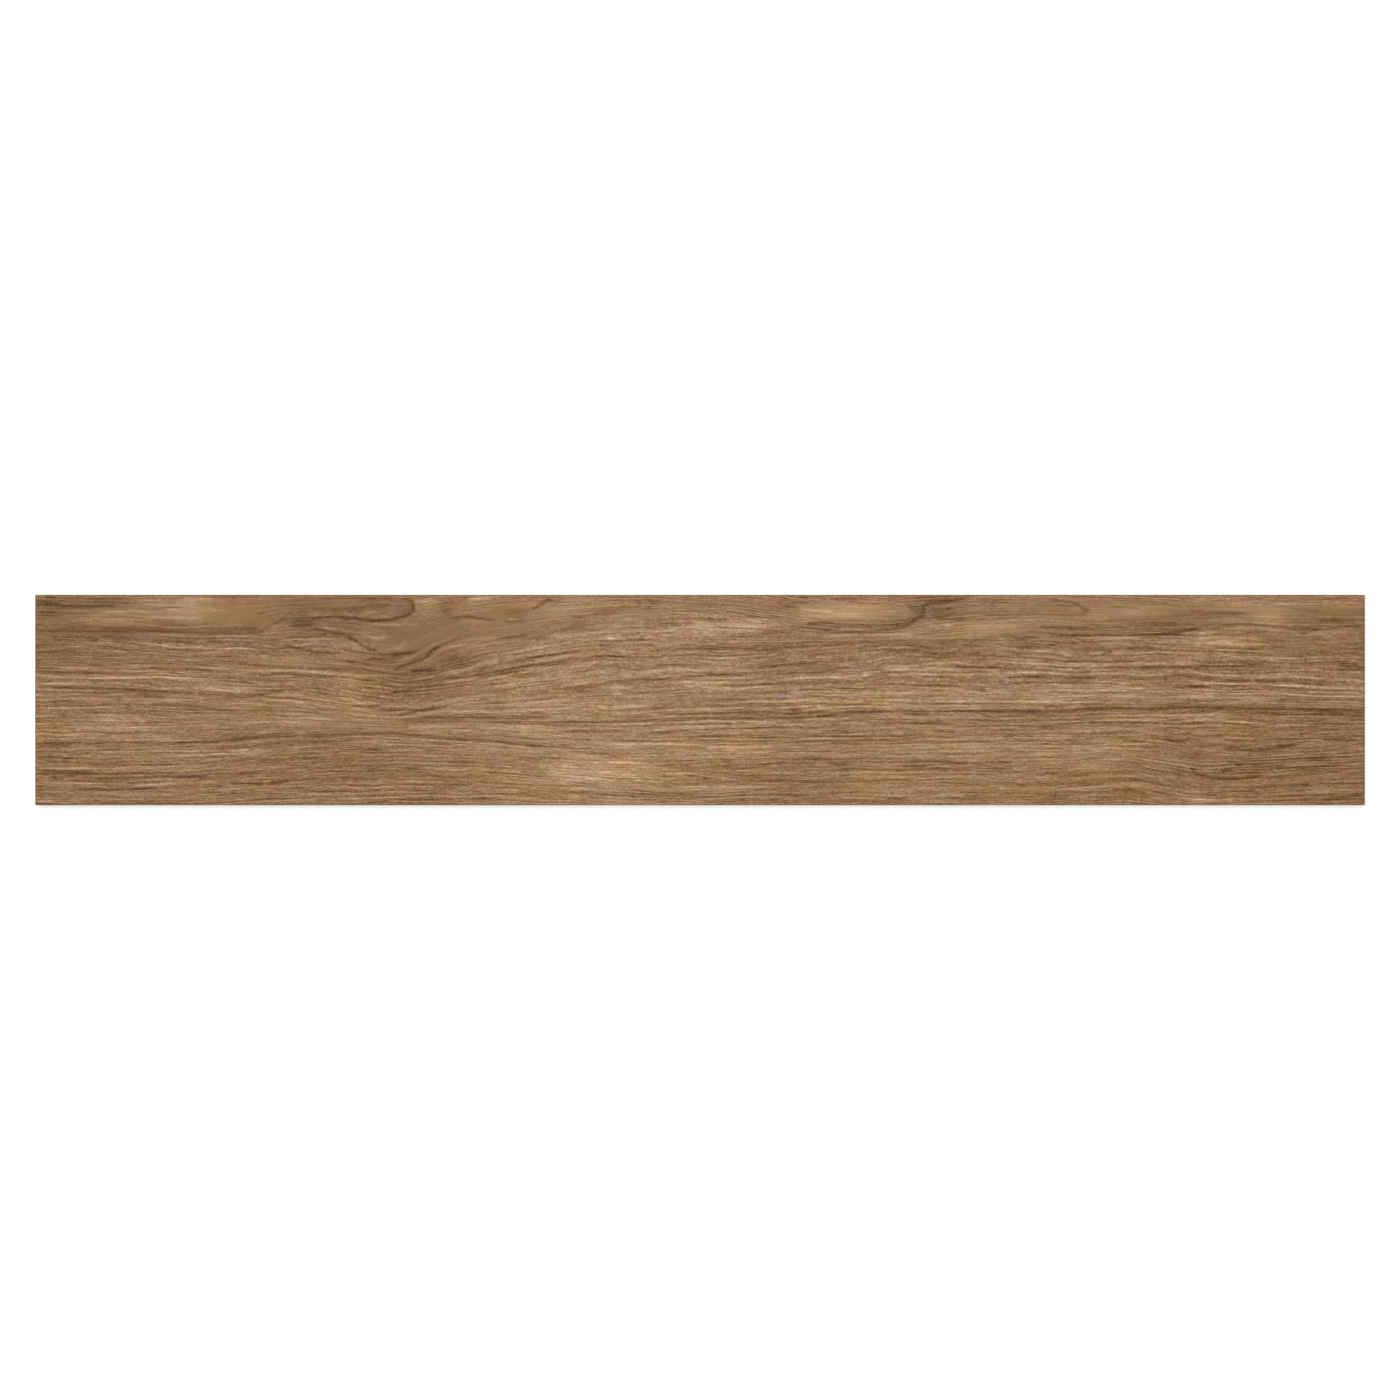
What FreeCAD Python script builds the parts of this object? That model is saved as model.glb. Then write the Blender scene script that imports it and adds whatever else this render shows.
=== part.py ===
import FreeCAD, Part
import math
import os

# Wood-look porcelain plank tile: one slab, dry-pressed with a keyed back, fired, and ground
# square on all four edges. It lies on its back, with its length along X.

# Driving dimensions, in millimetres and degrees.
face_length = 1200.0  # between the two ground ends
face_width = 190.0  # between the two ground long edges
thickness = 10.0  # from the lands of the back to the wear face
face_bevel = 0.6  # ground bevel round the wear face, at 45 degrees
back_bevel = 1.0  # ground bevel round the back, at 45 degrees
rim_width = 10.0  # plain band on the back, from the ground edge to the first key channel
land_pitch = 21.0  # nominal spacing of the raised lands, fitted to whole lands below
channel_width = 4.0  # key channel between two lands, at its mouth
channel_depth = 0.7  # how deep the key channels are pressed into the back
channel_draft = 30.0  # slope of the channel walls from upright, so that the punch lets go

# Sizes that follow from the driving ones.
wall_run = channel_depth * math.tan(math.radians(channel_draft))  # sideways reach of a sloped channel wall
key_length = face_length - 2 * rim_width  # the keyed field, to the outer walls of its border channel
key_width = face_width - 2 * rim_width
land_columns = max(1, round((key_length - channel_width) / land_pitch))
land_rows = max(1, round((key_width - channel_width) / land_pitch))
column_step = (key_length - channel_width) / land_columns
row_step = (key_width - channel_width) / land_rows


def edges_at(shape, height):
    """The edges of a shape that lie wholly at one height."""
    level = 1e-6
    return [edge for edge in shape.Edges if all(abs(v.Z - height) < level for v in edge.Vertexes)]


def ground_slab():
    """The plain slab, ground square, with a fine bevel round its wear face and round its back."""
    corner = FreeCAD.Vector(-face_length / 2, -face_width / 2, 0)
    slab = Part.makeBox(face_length, face_width, thickness, corner)
    slab = slab.makeChamfer(face_bevel, edges_at(slab, thickness))
    return slab.makeChamfer(back_bevel, edges_at(slab, 0.0))


def rectangle(centre_x, centre_y, height, length, width):
    """A closed rectangular wire at one height."""
    turns = [(-1, -1), (1, -1), (1, 1), (-1, 1), (-1, -1)]
    return Part.makePolygon(
        [FreeCAD.Vector(centre_x + sx * length / 2, centre_y + sy * width / 2, height) for sx, sy in turns]
    )


def drafted_block(centre_x, centre_y, length, width, growth):
    """A block from the back up to the channel floor, where it is wider by growth on each side."""
    mouth = rectangle(centre_x, centre_y, 0.0, length, width)
    floor = rectangle(centre_x, centre_y, channel_depth, length + 2 * growth, width + 2 * growth)
    return Part.makeLoft([mouth, floor], True, True)


def keyed_field():
    """The recess in the back, out to the outer walls of its border channel."""
    return drafted_block(0.0, 0.0, key_length, key_width, -wall_run)


def lands():
    """The grid of raised lands, with crossing channels between them that give the adhesive its grip."""
    blocks = []
    for column in range(land_columns):
        for row in range(land_rows):
            centre_x = (column + 0.5) * column_step - (key_length - channel_width) / 2
            centre_y = (row + 0.5) * row_step - (key_width - channel_width) / 2
            land_length = column_step - channel_width
            land_width = row_step - channel_width
            blocks.append(drafted_block(centre_x, centre_y, land_length, land_width, wall_run))
    return Part.makeCompound(blocks)


def plank_tile():
    """The whole tile, as one fired piece."""
    return ground_slab().cut(keyed_field()).fuse(lands()).Solids[0]


tile = plank_tile()
os.makedirs("parts", exist_ok=True)
tile.exportStep("parts/plank_tile.step")
print(f"plank_tile: valid {tile.isValid()}, {len(tile.Faces)} faces, volume {tile.Volume:.1f} mm3")
print(f"lands on the back: {land_columns} by {land_rows}, {column_step:.3f} by {row_step:.3f} mm apart")
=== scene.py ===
import bmesh
import bpy
import math
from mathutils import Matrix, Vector
from mathutils.geometry import intersect_point_line


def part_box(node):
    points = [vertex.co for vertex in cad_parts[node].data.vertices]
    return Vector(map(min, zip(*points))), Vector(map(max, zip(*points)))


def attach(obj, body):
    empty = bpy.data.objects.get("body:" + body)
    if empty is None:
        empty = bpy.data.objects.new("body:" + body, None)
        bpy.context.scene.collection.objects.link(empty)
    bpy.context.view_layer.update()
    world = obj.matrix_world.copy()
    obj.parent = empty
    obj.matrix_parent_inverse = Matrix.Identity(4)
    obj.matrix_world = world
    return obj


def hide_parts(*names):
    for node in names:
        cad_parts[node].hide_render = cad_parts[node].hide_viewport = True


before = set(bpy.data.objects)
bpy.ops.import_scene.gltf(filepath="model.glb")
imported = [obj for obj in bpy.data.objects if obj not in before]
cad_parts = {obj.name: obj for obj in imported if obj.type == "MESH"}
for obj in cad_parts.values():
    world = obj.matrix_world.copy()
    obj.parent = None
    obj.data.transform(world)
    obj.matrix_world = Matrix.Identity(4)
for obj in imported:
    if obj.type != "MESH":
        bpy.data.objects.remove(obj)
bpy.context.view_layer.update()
low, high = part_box("plank_tile")

# The plank's size, from the frame, in metres.
length = high.x - low.x
width = high.y - low.y
thickness = high.z - low.z
SAME_PLACE = 1e-6  # points that are nearer to each other than this are one

# The grain is laid out in pixels of the photograph: columns run along the plank, rows down its face.
PHOTO_SIZE = 1400.0
PHOTO_CENTRE = 699.5  # the row and the column of the middle of the face
PHOTO_LENGTH = 1330.0  # from end to end of the plank
pixel = length / PHOTO_LENGTH  # one pixel of the photograph on the face, in metres

# The piece's material slots, and what tells its faces apart.
FACE, EDGE, BACK = range(3)
FACE_NORMAL = 0.9  # a face that points up by more than this is the wear face
EDGE_REACH = 0.0015  # the ground edges and bevels lie within this distance of the outline, in metres
SHARP_ANGLE = math.radians(20)  # faces that meet at more than this keep a sharp edge

# Relief grid on the wear face, and how deep the grain is pressed into it, in metres.
GRID_COLUMNS = 440
GRID_ROWS = 214
RELIEF_DEPTH = 0.00016
RELIEF_MEAN = 0.45  # share of that depth at the print's mean tone
RELIEF_TONE = 80.0  # levels of tone from no relief to its full depth
RELIEF_RIM = 0.002  # along the edges the relief runs out over this width
RELIEF_MARGIN = 0.3  # share of that width, next to the edge, that stays flat
FACE_DEPTH = 1e-5  # what lies no deeper than this under the top is the wear face

# Fibres of the print, as layers of stretched noise: waves along and across in pixels, tone in levels.
FIBRES = (
    (400.0, 2.6, 4.8),
    (180.0, 2.4, 5.2),
    (60.0, 2.4, 4.5),
    (42.0, 3.4, 1.5),
    (16.0, 2.6, 3.2),
    (7.0, 2.5, 3.6),
    (3.6, 2.6, 3.4),
)
# Layers in the print alone, because they are too fine for the relief.
FINE_FIBRES = ((40.0, 1.2, 4.5), (12.0, 1.1, 4.0), (4.0, 1.0, 3.0))
LAYER_SHIFT = (7.3, 3.7)  # how far each layer's noise is shifted along and across from the one before
WANDER_WAVES = (70.0, 30.0)  # the fibres wander across in waves of this size along and across, in pixels
WANDER = 0.6  # and by about so many pixels
NOISE_LATTICE = 0.65  # spacing of a noise's lattice, as a share of the wavelength that it gives
NOISE_MEAN = 0.5
NOISE_SPREAD = 0.145  # how far a noise strays from its mean

# Colours of the print, in levels of an 8-bit colour, less the glaze's own gloss.
PRINT_MEAN = (145.3, 110.2, 75.3)
PRINT_SWING = (1.08, 1.10, 1.16)  # how far red, green and blue each follow the tone
TONE_RANGE = 90.0  # levels from the mean tone to each end of the colour ramp
RAMP_STEPS = 6

# Slow drifts of the print's hue: waves along and across in pixels, then the swing of red, green and blue.
HUE_DRIFTS = ((55.0, 22.0, (0.014, 0.0, -0.03)), (40.0, 16.0, (-0.008, 0.012, -0.008)))
DRIFT_SHIFT = 31.0  # how far each drift's noise is shifted along from the one before

# The matt glaze. Here and below a roughness is a mean and a swing, and a grain is in grains to the metre.
GLAZE_GRIT = 2500.0
GLAZE_ROUGHNESS = (0.56, 0.03)
GLAZE_GLOSS = 0.2
GLAZE_BUMP = 0.12
BUMP_HEIGHT = 0.0001  # of every finish, in metres

# The ground body: colours in levels from dark to pale, and how far lines and specks swing between them.
BODY_COLOURS = ((102, 88, 72), (121, 105, 88), (139, 124, 106))
BODY_MEAN = 0.5
GRINDING_LINES = (14.0, 14.0, 2600.0)
GRINDING_SWING = 0.1
BODY_SPECKS = (900.0, 900.0, 900.0)
SPECK_SWING = 0.07
BODY_ROUGHNESS = (0.62, 0.04)
BODY_GLOSS = 0.3
BODY_BUMP = 0.2

# The fired back: colours of bare body and kiln wash in levels, and how thick the wash lies on the lands.
BACK_COLOURS = ((126, 108, 88), (196, 188, 176))
WASH_REACH = 0.0003  # how far the wash reaches up from the lands, in metres
WASH_MEAN = 0.45
BACK_BLOTCHES = (40.0, 40.0, 40.0)
BLOTCH_SWING = 0.2
BACK_GRIT = (1300.0, 1300.0, 1300.0)
GRIT_SWING = 0.1
BACK_ROUGHNESS = (0.8, 0.03)
BACK_GLOSS = 0.3
BACK_BUMP = 0.3

# Strips of the sheet that the piece is baked on: the foot and the height of each, as shares of the sheet.
SHEET_MARGIN = 0.002
FACE_STRIP = (0.302, 0.696)
BACK_STRIP = (0.07, 0.225)
FRONT_STRIP = (0.002, 0.012)
REAR_STRIP = (0.018, 0.012)
LEFT_STRIP = (0.034, 0.012)
RIGHT_STRIP = (0.05, 0.012)

# The floor, the light and the camera.
WHITE = (1.0, 1.0, 1.0, 1.0)
FLOOR_PAINT = (0.8, 0.8, 0.8, 1.0)
FLOOR_GLOW = 0.42  # makes up what the floor lacks to be white
FLOOR_HALF = 25.0  # half the floor's length and width, in metres
FLOOR_GAP = 0.0002  # between the floor and the back, in metres
SKY_LIGHT = 0.62
BACKDROP_LIGHT = 1.0
LAMP_LIGHT = 1.35
LAMP_SPREAD = math.radians(50)
LAMP_TILT = (math.radians(-18), math.radians(-16), 0.0)
CAMERA_LENS = 100.0

# Lines of the grain from end to end, each with the row that it has where the grain runs straight.
GRAIN_LINES = (
    (570, ((0, 570), (1400, 570))),
    (606, ((0, 606), (150, 608), (262, 604), (330, 600), (400, 596), (470, 591), (560, 588), (700, 591),
           (800, 601), (870, 605), (920, 602), (1000, 599), (1100, 601), (1200, 606), (1300, 606),
           (1400, 606))),
    (640, ((0, 638), (110, 642), (190, 650), (262, 652), (310, 653), (350, 656), (385, 661), (410, 658),
           (430, 649), (455, 638), (500, 629), (560, 620), (620, 614), (700, 613), (760, 618), (815, 625),
           (850, 629), (900, 628), (940, 622), (985, 617), (1035, 616), (1100, 618), (1200, 614),
           (1400, 616))),
    (668, ((0, 668), (110, 668), (180, 667), (250, 671), (310, 673), (375, 679), (400, 684), (430, 683),
           (470, 677), (500, 670), (540, 663), (580, 659), (620, 657), (700, 655), (800, 651), (860, 645),
           (930, 644), (1000, 647), (1100, 650), (1200, 652), (1400, 656))),
    (690, ((0, 687), (110, 688), (150, 690), (190, 694), (250, 696), (300, 700), (345, 705), (390, 711),
           (430, 709), (460, 704), (500, 699), (560, 694), (620, 690), (700, 686), (800, 684), (900, 683),
           (1000, 685), (1100, 688), (1200, 689), (1400, 694))),
    (712, ((0, 712), (190, 712), (262, 714), (330, 718), (390, 721), (420, 719), (480, 718), (560, 719),
           (620, 719), (700, 716), (800, 714), (850, 711), (900, 710), (1000, 711), (1100, 709),
           (1160, 709), (1220, 707), (1290, 709), (1400, 711))),
    (742, ((0, 741), (130, 743), (230, 741), (260, 738), (300, 736), (360, 734), (400, 736), (440, 739),
           (480, 741), (510, 743), (540, 746), (600, 749), (700, 747), (800, 744), (940, 742),
           (1050, 741), (1140, 741), (1200, 747), (1240, 748), (1290, 745), (1400, 741))),
    (786, ((0, 787), (180, 788), (230, 784), (300, 780), (375, 777), (450, 776), (500, 777), (550, 780),
           (610, 785), (700, 788), (800, 785), (1000, 785), (1060, 783), (1100, 780), (1130, 778),
           (1160, 784), (1190, 790), (1230, 790), (1270, 788), (1300, 785), (1400, 782))),
    (830, ((0, 830), (1400, 830))),
)

# Broad rise and fall of the print's tone, in levels: along the plank, then across its grain.
TONE_ALONG = ((0, -9), (70, -6), (160, 0), (330, -5), (410, -5), (480, 3), (580, 11), (690, 7), (770, 1),
              (900, 3), (1060, 0), (1200, -4), (1400, -10))
TONE_ACROSS = ((570, -2), (612, 1), (628, -4), (650, -3), (664, -3), (676, 3), (698, 6), (709, -4),
               (716, 0), (724, 3), (738, -2), (750, 4), (764, 0), (774, -2), (786, 0), (800, -2),
               (830, -2))

# Pens that draw the grain: tone in levels of an 8-bit colour, and half width in pixels.
DEEP = (-37, 1.6)
DARK = (-30, 1.4)
DARK_HAIR = (-37, 1.0)
SHADE = (-15, 2.4)
DUSK = (-21, 1.2)
DUSK_HAIR = (-24, 1.0)
GLOW = (11, 2.4)
PALE = (22, 1.3)
PALE_HAIR = (28, 1.0)
BRIGHT = (33, 1.2)
FLANK_TONE = 0.15  # beside a stroke the tone swings the other way, by this share of the pen's
FLANK_WIDTH = 2.2  # half width of that swing, in half widths of the pen
TIP_TONE = 0.2  # share of a stroke's tone at its very ends
TIP_RISE = 9.0  # how fast that share grows from an end, over the whole length of the stroke
STROKE_REACH = 4.5  # a stroke is worked out to this many half widths of its pen

# Strokes of the grain, from the left end to the right, and a few dark ones on the lower edge's last rows
# that are painted shade of the bevel in shadow: a pen, then columns and rows of each stroke.
STROKES = (
    # The left end, above the middle.
    (DEEP, (46, 597, 56, 597)),
    (DARK, (50, 606, 92, 606, 116, 605), (36, 602, 60, 603), (53, 636, 57, 636), (56, 640, 98, 640),
     (112, 640, 125, 642, 145, 645, 156, 648), (84, 638, 97, 639), (150, 641, 196, 641),
     (92, 665, 98, 665), (184, 668, 213, 671)),
    (SHADE, (154, 620, 170, 622, 192, 627), (64, 626, 90, 627), (100, 627, 165, 628), (36, 617, 62, 615),
     (62, 636, 98, 636)),
    (DUSK, (60, 598, 106, 599), (130, 648, 213, 650), (126, 651, 150, 652), (92, 657, 104, 658),
     (110, 655, 117, 655), (148, 655, 153, 655), (96, 665, 130, 667), (150, 667, 178, 670),
     (38, 681, 62, 681), (100, 692, 130, 692), (160, 671, 178, 672)),
    (DUSK_HAIR, (150, 608, 182, 607), (92, 611, 104, 611), (108, 615, 146, 618), (100, 636, 113, 636),
     (190, 655, 213, 656)),
    (GLOW, (84, 614, 124, 613), (84, 620, 135, 620), (140, 603, 200, 603)),
    (PALE, (66, 610, 128, 611), (126, 609, 150, 612), (150, 616, 200, 618), (60, 646, 100, 646),
     (120, 668, 128, 668), (60, 694, 84, 694)),
    (BRIGHT, (180, 598, 212, 598), (166, 609, 180, 610)),
    # The left end, below the middle.
    (DEEP, (88, 778, 120, 779, 134, 777, 152, 776, 184, 776, 213, 776),
     (66, 788, 100, 789, 140, 788, 188, 786, 213, 784)),
    (DARK, (36, 743, 76, 742, 122, 742, 150, 742), (150, 703, 172, 704, 213, 708), (186, 709, 198, 709),
     (62, 758, 72, 758), (38, 757, 58, 757), (36, 771, 84, 772, 96, 773), (50, 777, 59, 777),
     (36, 792, 48, 793)),
    (SHADE, (36, 744, 64, 745), (36, 772, 96, 772)),
    (DUSK, (46, 705, 96, 704, 140, 703), (126, 709, 140, 710), (144, 721, 166, 722), (36, 752, 62, 750),
     (44, 760, 56, 761), (36, 786, 62, 787), (48, 793, 90, 795, 120, 796), (142, 798, 156, 799),
     (160, 796, 188, 795), (160, 758, 174, 758)),
    (DUSK_HAIR, (80, 711, 126, 713, 146, 712), (56, 714, 66, 714)),
    (PALE, (100, 727, 150, 727)),
    (PALE_HAIR, (158, 740, 182, 740), (110, 736, 130, 736), (161, 723, 169, 723)),
    (BRIGHT, (55, 735, 76, 735)),
    # Left of the knot, above the middle.
    (DEEP, (318, 617, 336, 616, 350, 617, 372, 621), (312, 618, 320, 617), (312, 628, 334, 633, 346, 634),
     (346, 635, 353, 638, 356, 641), (347, 637, 352, 640)),
    (DARK, (288, 625, 314, 624), (284, 645, 298, 648, 312, 651, 332, 653, 346, 652),
     (248, 689, 268, 690, 304, 688), (257, 613, 263, 612), (321, 634, 326, 634),
     (354, 640, 360, 644, 367, 648, 376, 651), (344, 661, 354, 661),
     (258, 676, 274, 674, 290, 673, 306, 675)),
    (SHADE, (205, 628, 258, 628), (310, 609, 340, 609), (345, 608, 366, 608), (208, 640, 222, 640),
     (290, 620, 314, 620)),
    (DUSK, (244, 675, 284, 673, 318, 676), (314, 676, 350, 677), (352, 679, 378, 680),
     (222, 680, 252, 682), (212, 656, 236, 655), (256, 695, 284, 690), (318, 598, 378, 598),
     (370, 658, 386, 659)),
    (DUSK_HAIR, (252, 652, 268, 652), (286, 612, 293, 614)),
    (GLOW, (200, 600, 225, 601), (205, 609, 225, 610), (262, 632, 270, 636), (360, 632, 378, 640)),
    (PALE, (300, 614, 344, 614, 378, 611), (332, 686, 366, 686), (264, 694, 284, 694, 302, 696)),
    (PALE_HAIR, (204, 652, 222, 652), (286, 683, 297, 683)),
    (BRIGHT, (261, 655, 266, 655), (358, 690, 367, 690), (283, 626, 289, 626)),
    # Left of the knot, below the middle.
    (DEEP, (224, 741, 244, 738, 284, 736, 298, 736), (230, 783, 262, 783), (270, 782, 286, 781)),
    (DARK, (206, 773, 240, 773, 258, 772), (206, 786, 230, 783, 262, 783, 300, 779), (336, 797, 337, 801),
     (231, 792, 236, 793)),
    (DARK_HAIR, (300, 741, 336, 741), (340, 749, 378, 749)),
    (DUSK, (288, 706, 300, 707), (310, 704, 320, 708, 340, 710), (208, 708, 238, 711),
     (310, 709, 345, 711), (206, 757, 252, 757), (302, 758, 318, 758), (288, 765, 310, 766),
     (300, 779, 336, 778), (352, 779, 378, 779), (200, 792, 222, 792), (262, 792, 270, 793),
     (296, 790, 350, 790), (362, 786, 378, 790), (240, 798, 280, 799)),
    (DUSK_HAIR, (344, 705, 378, 706), (352, 728, 364, 728)),
    (GLOW, (350, 714, 378, 717)),
    (PALE, (296, 717, 316, 718, 332, 719), (300, 723, 356, 726), (262, 800, 318, 801),
     (345, 703, 378, 703), (345, 708, 378, 709)),
    (PALE_HAIR, (228, 750, 248, 750), (255, 750, 272, 750)),
    (BRIGHT, (290, 770, 304, 769)),
    # The knot, above the middle.
    (DEEP, (366, 621, 390, 619, 412, 613), (410, 599, 412, 611), (412, 599, 413, 610),
     (424, 658, 434, 648, 440, 645), (411, 671, 436, 669),
     (393, 670, 402, 665, 410, 662, 418, 659, 425, 657)),
    (DARK, (448, 618, 466, 616, 496, 620), (464, 630, 470, 630), (461, 600, 466, 596),
     (392, 654, 416, 652), (366, 696, 398, 692), (470, 679, 506, 673, 520, 671),
     (504, 664, 530, 658, 543, 656)),
    (SHADE, (446, 662, 464, 655), (390, 656, 424, 651), (366, 604, 392, 604), (440, 603, 462, 602),
     (440, 669, 446, 664), (504, 613, 532, 609), (500, 639, 528, 635)),
    (DUSK, (366, 622, 388, 619, 405, 616, 412, 613), (440, 644, 458, 638), (366, 659, 384, 659),
     (392, 692, 424, 687, 440, 684), (440, 685, 470, 680), (470, 686, 510, 682), (490, 695, 536, 692),
     (503, 622, 524, 620), (532, 608, 538, 607), (366, 650, 376, 650), (366, 598, 396, 598),
     (430, 674, 440, 674)),
    (GLOW, (386, 607, 406, 606), (424, 601, 440, 602), (458, 621, 480, 621), (484, 638, 496, 638)),
    (PALE, (391, 665, 410, 657, 420, 652, 430, 646, 446, 640, 454, 636), (440, 682, 500, 676, 530, 671),
     (396, 649, 406, 640), (455, 659, 466, 652), (366, 625, 420, 624)),
    (PALE_HAIR, (430, 692, 440, 692)),
    (BRIGHT, (468, 598, 490, 598), (508, 619, 516, 619)),
    # Under the knot.
    (DEEP, (396, 716, 414, 711, 446, 706)),
    # The second dark stroke here, on the lower edge's last rows, is painted shade: the bevel in shadow.
    (DARK, (517, 758, 540, 759), (366, 803, 390, 800)),
    (DARK_HAIR, (430, 742, 452, 744), (526, 745, 536, 745), (403, 768, 420, 768)),
    (DUSK, (366, 706, 404, 700), (384, 711, 410, 706), (398, 720, 440, 721, 470, 721),
     (415, 773, 446, 776, 470, 778), (436, 779, 456, 779), (390, 799, 450, 798, 510, 799),
     (414, 784, 470, 785), (424, 758, 432, 758)),
    (DUSK_HAIR, (490, 733, 530, 738, 543, 739), (366, 750, 386, 750), (400, 751, 446, 751),
     (480, 771, 520, 774, 543, 777)),
    (GLOW, (366, 714, 390, 718), (500, 790, 520, 790)),
    (PALE, (450, 731, 470, 730), (424, 768, 470, 769)),
    (PALE_HAIR, (464, 719, 472, 719), (400, 750, 424, 750), (500, 770, 520, 771), (408, 781, 416, 781)),
    # Right of the knot, above the middle.
    (DEEP, (638, 600, 638, 605), (532, 609, 540, 604, 552, 597)),
    (DARK, (654, 600, 646, 609), (658, 623, 682, 623, 694, 622), (570, 616, 582, 617),
     (530, 657, 560, 652, 580, 650), (612, 682, 640, 679, 672, 677)),
    (SHADE, (540, 626, 562, 622), (546, 631, 574, 628), (600, 614, 622, 610), (534, 640, 540, 635),
     (674, 650, 690, 648)),
    (DARK_HAIR, (640, 679, 660, 679, 673, 677)),
    (DUSK, (578, 617, 600, 613), (650, 657, 664, 657), (626, 655, 638, 653), (648, 687, 660, 685),
     (536, 692, 546, 691), (630, 693, 650, 691), (576, 697, 612, 694), (552, 597, 560, 596)),
    (DUSK_HAIR, (606, 665, 620, 664), (616, 668, 630, 667), (608, 673, 620, 672), (630, 669, 640, 670),
     (660, 665, 690, 664), (694, 642, 708, 642), (597, 664, 606, 664), (674, 677, 704, 676)),
    (GLOW, (604, 686, 624, 686), (604, 637, 620, 637), (590, 634, 620, 632)),
    (PALE, (552, 637, 590, 635), (672, 628, 708, 625), (638, 650, 664, 645, 676, 645),
     (534, 663, 566, 655), (680, 681, 706, 679)),
    (BRIGHT, (620, 650, 627, 650), (608, 637, 615, 639)),
    # Right of the knot, below the middle.
    (DARK, (576, 714, 582, 717), (560, 731, 624, 730), (636, 734, 672, 731, 690, 730),
     (616, 780, 636, 780), (590, 793, 622, 795, 660, 793, 708, 795)),
    (DARK_HAIR, (572, 751, 602, 753, 616, 756), (684, 775, 708, 777)),
    (SHADE, (600, 764, 630, 767)),
    (DUSK, (530, 713, 548, 713), (584, 715, 618, 713), (606, 706, 613, 705), (620, 740, 650, 740),
     (556, 745, 592, 745), (598, 758, 626, 757), (640, 780, 650, 779), (664, 781, 674, 781),
     (622, 793, 642, 792), (560, 793, 590, 792), (655, 754, 664, 754), (660, 766, 690, 765)),
    (DUSK_HAIR, (600, 727, 630, 726)),
    (GLOW, (618, 773, 634, 773), (550, 772, 572, 776)),
    (PALE, (570, 754, 604, 758), (606, 761, 646, 762), (556, 780, 600, 778)),
    (PALE_HAIR, (566, 728, 590, 728), (650, 714, 658, 714)),
    (BRIGHT, (630, 732, 650, 732), (598, 772, 610, 772), (568, 795, 578, 796)),
    # Left of the lens, above the middle.
    (DEEP, (784, 606, 796, 606), (806, 624, 820, 622, 834, 623), (750, 667, 786, 665, 808, 662)),
    (DARK, (736, 618, 746, 616, 782, 617), (720, 619, 736, 616), (834, 624, 850, 625, 873, 625),
     (822, 630, 840, 627), (798, 597, 808, 597), (830, 669, 850, 667), (724, 675, 752, 675)),
    (DARK_HAIR, (706, 675, 728, 674), (790, 602, 806, 602), (766, 692, 790, 692)),
    (SHADE, (780, 645, 804, 644), (760, 633, 800, 632), (800, 624, 812, 624)),
    (DUSK, (836, 600, 854, 599), (698, 621, 714, 619), (840, 631, 873, 632), (704, 645, 742, 643),
     (732, 667, 750, 667), (810, 662, 856, 661), (800, 696, 820, 696)),
    (DUSK_HAIR, (762, 651, 774, 651), (794, 651, 808, 651), (792, 658, 814, 658)),
    (GLOW, (800, 616, 860, 616), (720, 624, 766, 626)),
    (PALE, (756, 639, 774, 637), (820, 637, 860, 633)),
    (PALE_HAIR, (718, 658, 738, 658), (744, 686, 770, 686), (790, 660, 812, 660)),
    (BRIGHT, (800, 609, 832, 611), (751, 621, 760, 621), (856, 669, 862, 670)),
    # Left of the lens, below the middle.
    (DARK, (816, 717, 836, 714), (722, 760, 733, 760), (830, 762, 838, 765, 846, 762),
     (784, 800, 785, 803)),
    (DARK_HAIR, (695, 724, 734, 723), (790, 710, 800, 710), (784, 714, 798, 713)),
    (SHADE, (734, 774, 764, 776), (798, 763, 812, 763)),
    (DUSK, (744, 707, 774, 705), (796, 727, 812, 726), (716, 735, 728, 734), (792, 759, 802, 759),
     (762, 765, 770, 765), (710, 772, 728, 772), (736, 799, 745, 799), (768, 798, 780, 799),
     (778, 795, 806, 795), (830, 794, 842, 799), (792, 710, 800, 710), (740, 732, 752, 733)),
    (DUSK_HAIR, (790, 722, 808, 722), (744, 728, 790, 727), (820, 731, 846, 730), (776, 750, 790, 750),
     (816, 704, 873, 704)),
    (GLOW, (724, 746, 734, 752)),
    (PALE, (780, 724, 822, 725), (784, 729, 802, 729)),
    (PALE_HAIR, (820, 709, 850, 710), (720, 787, 770, 786)),
    # The lens and right of it, above the middle.
    (DARK, (922, 606, 923, 617), (934, 618, 956, 619, 966, 618), (946, 609, 953, 608),
     (962, 655, 980, 652), (1014, 639, 1038, 636)),
    (SHADE, (906, 606, 918, 607), (968, 601, 998, 601), (966, 641, 998, 637), (1016, 648, 1038, 645),
     (920, 657, 938, 653), (862, 641, 924, 640)),
    (DUSK, (866, 627, 902, 624), (956, 620, 972, 618, 986, 618), (980, 614, 1038, 614),
     (888, 650, 920, 649), (884, 652, 904, 653), (862, 645, 882, 644), (936, 643, 948, 643),
     (936, 658, 954, 657), (970, 676, 1006, 679), (1004, 677, 1014, 677), (1016, 677, 1038, 676),
     (990, 685, 1030, 682), (924, 640, 966, 641), (964, 690, 984, 689), (1000, 634, 1012, 635)),
    (DUSK_HAIR, (890, 677, 952, 677), (870, 670, 882, 669)),
    (GLOW, (926, 613, 932, 618), (926, 625, 950, 625), (970, 625, 1020, 626)),
    (PALE, (930, 606, 954, 604), (862, 634, 910, 634), (890, 669, 910, 669), (940, 688, 980, 691),
     (1010, 609, 1018, 609)),
    (PALE_HAIR, (920, 607, 927, 606)),
    (BRIGHT, (860, 675, 868, 675), (946, 625, 953, 625)),
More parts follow.
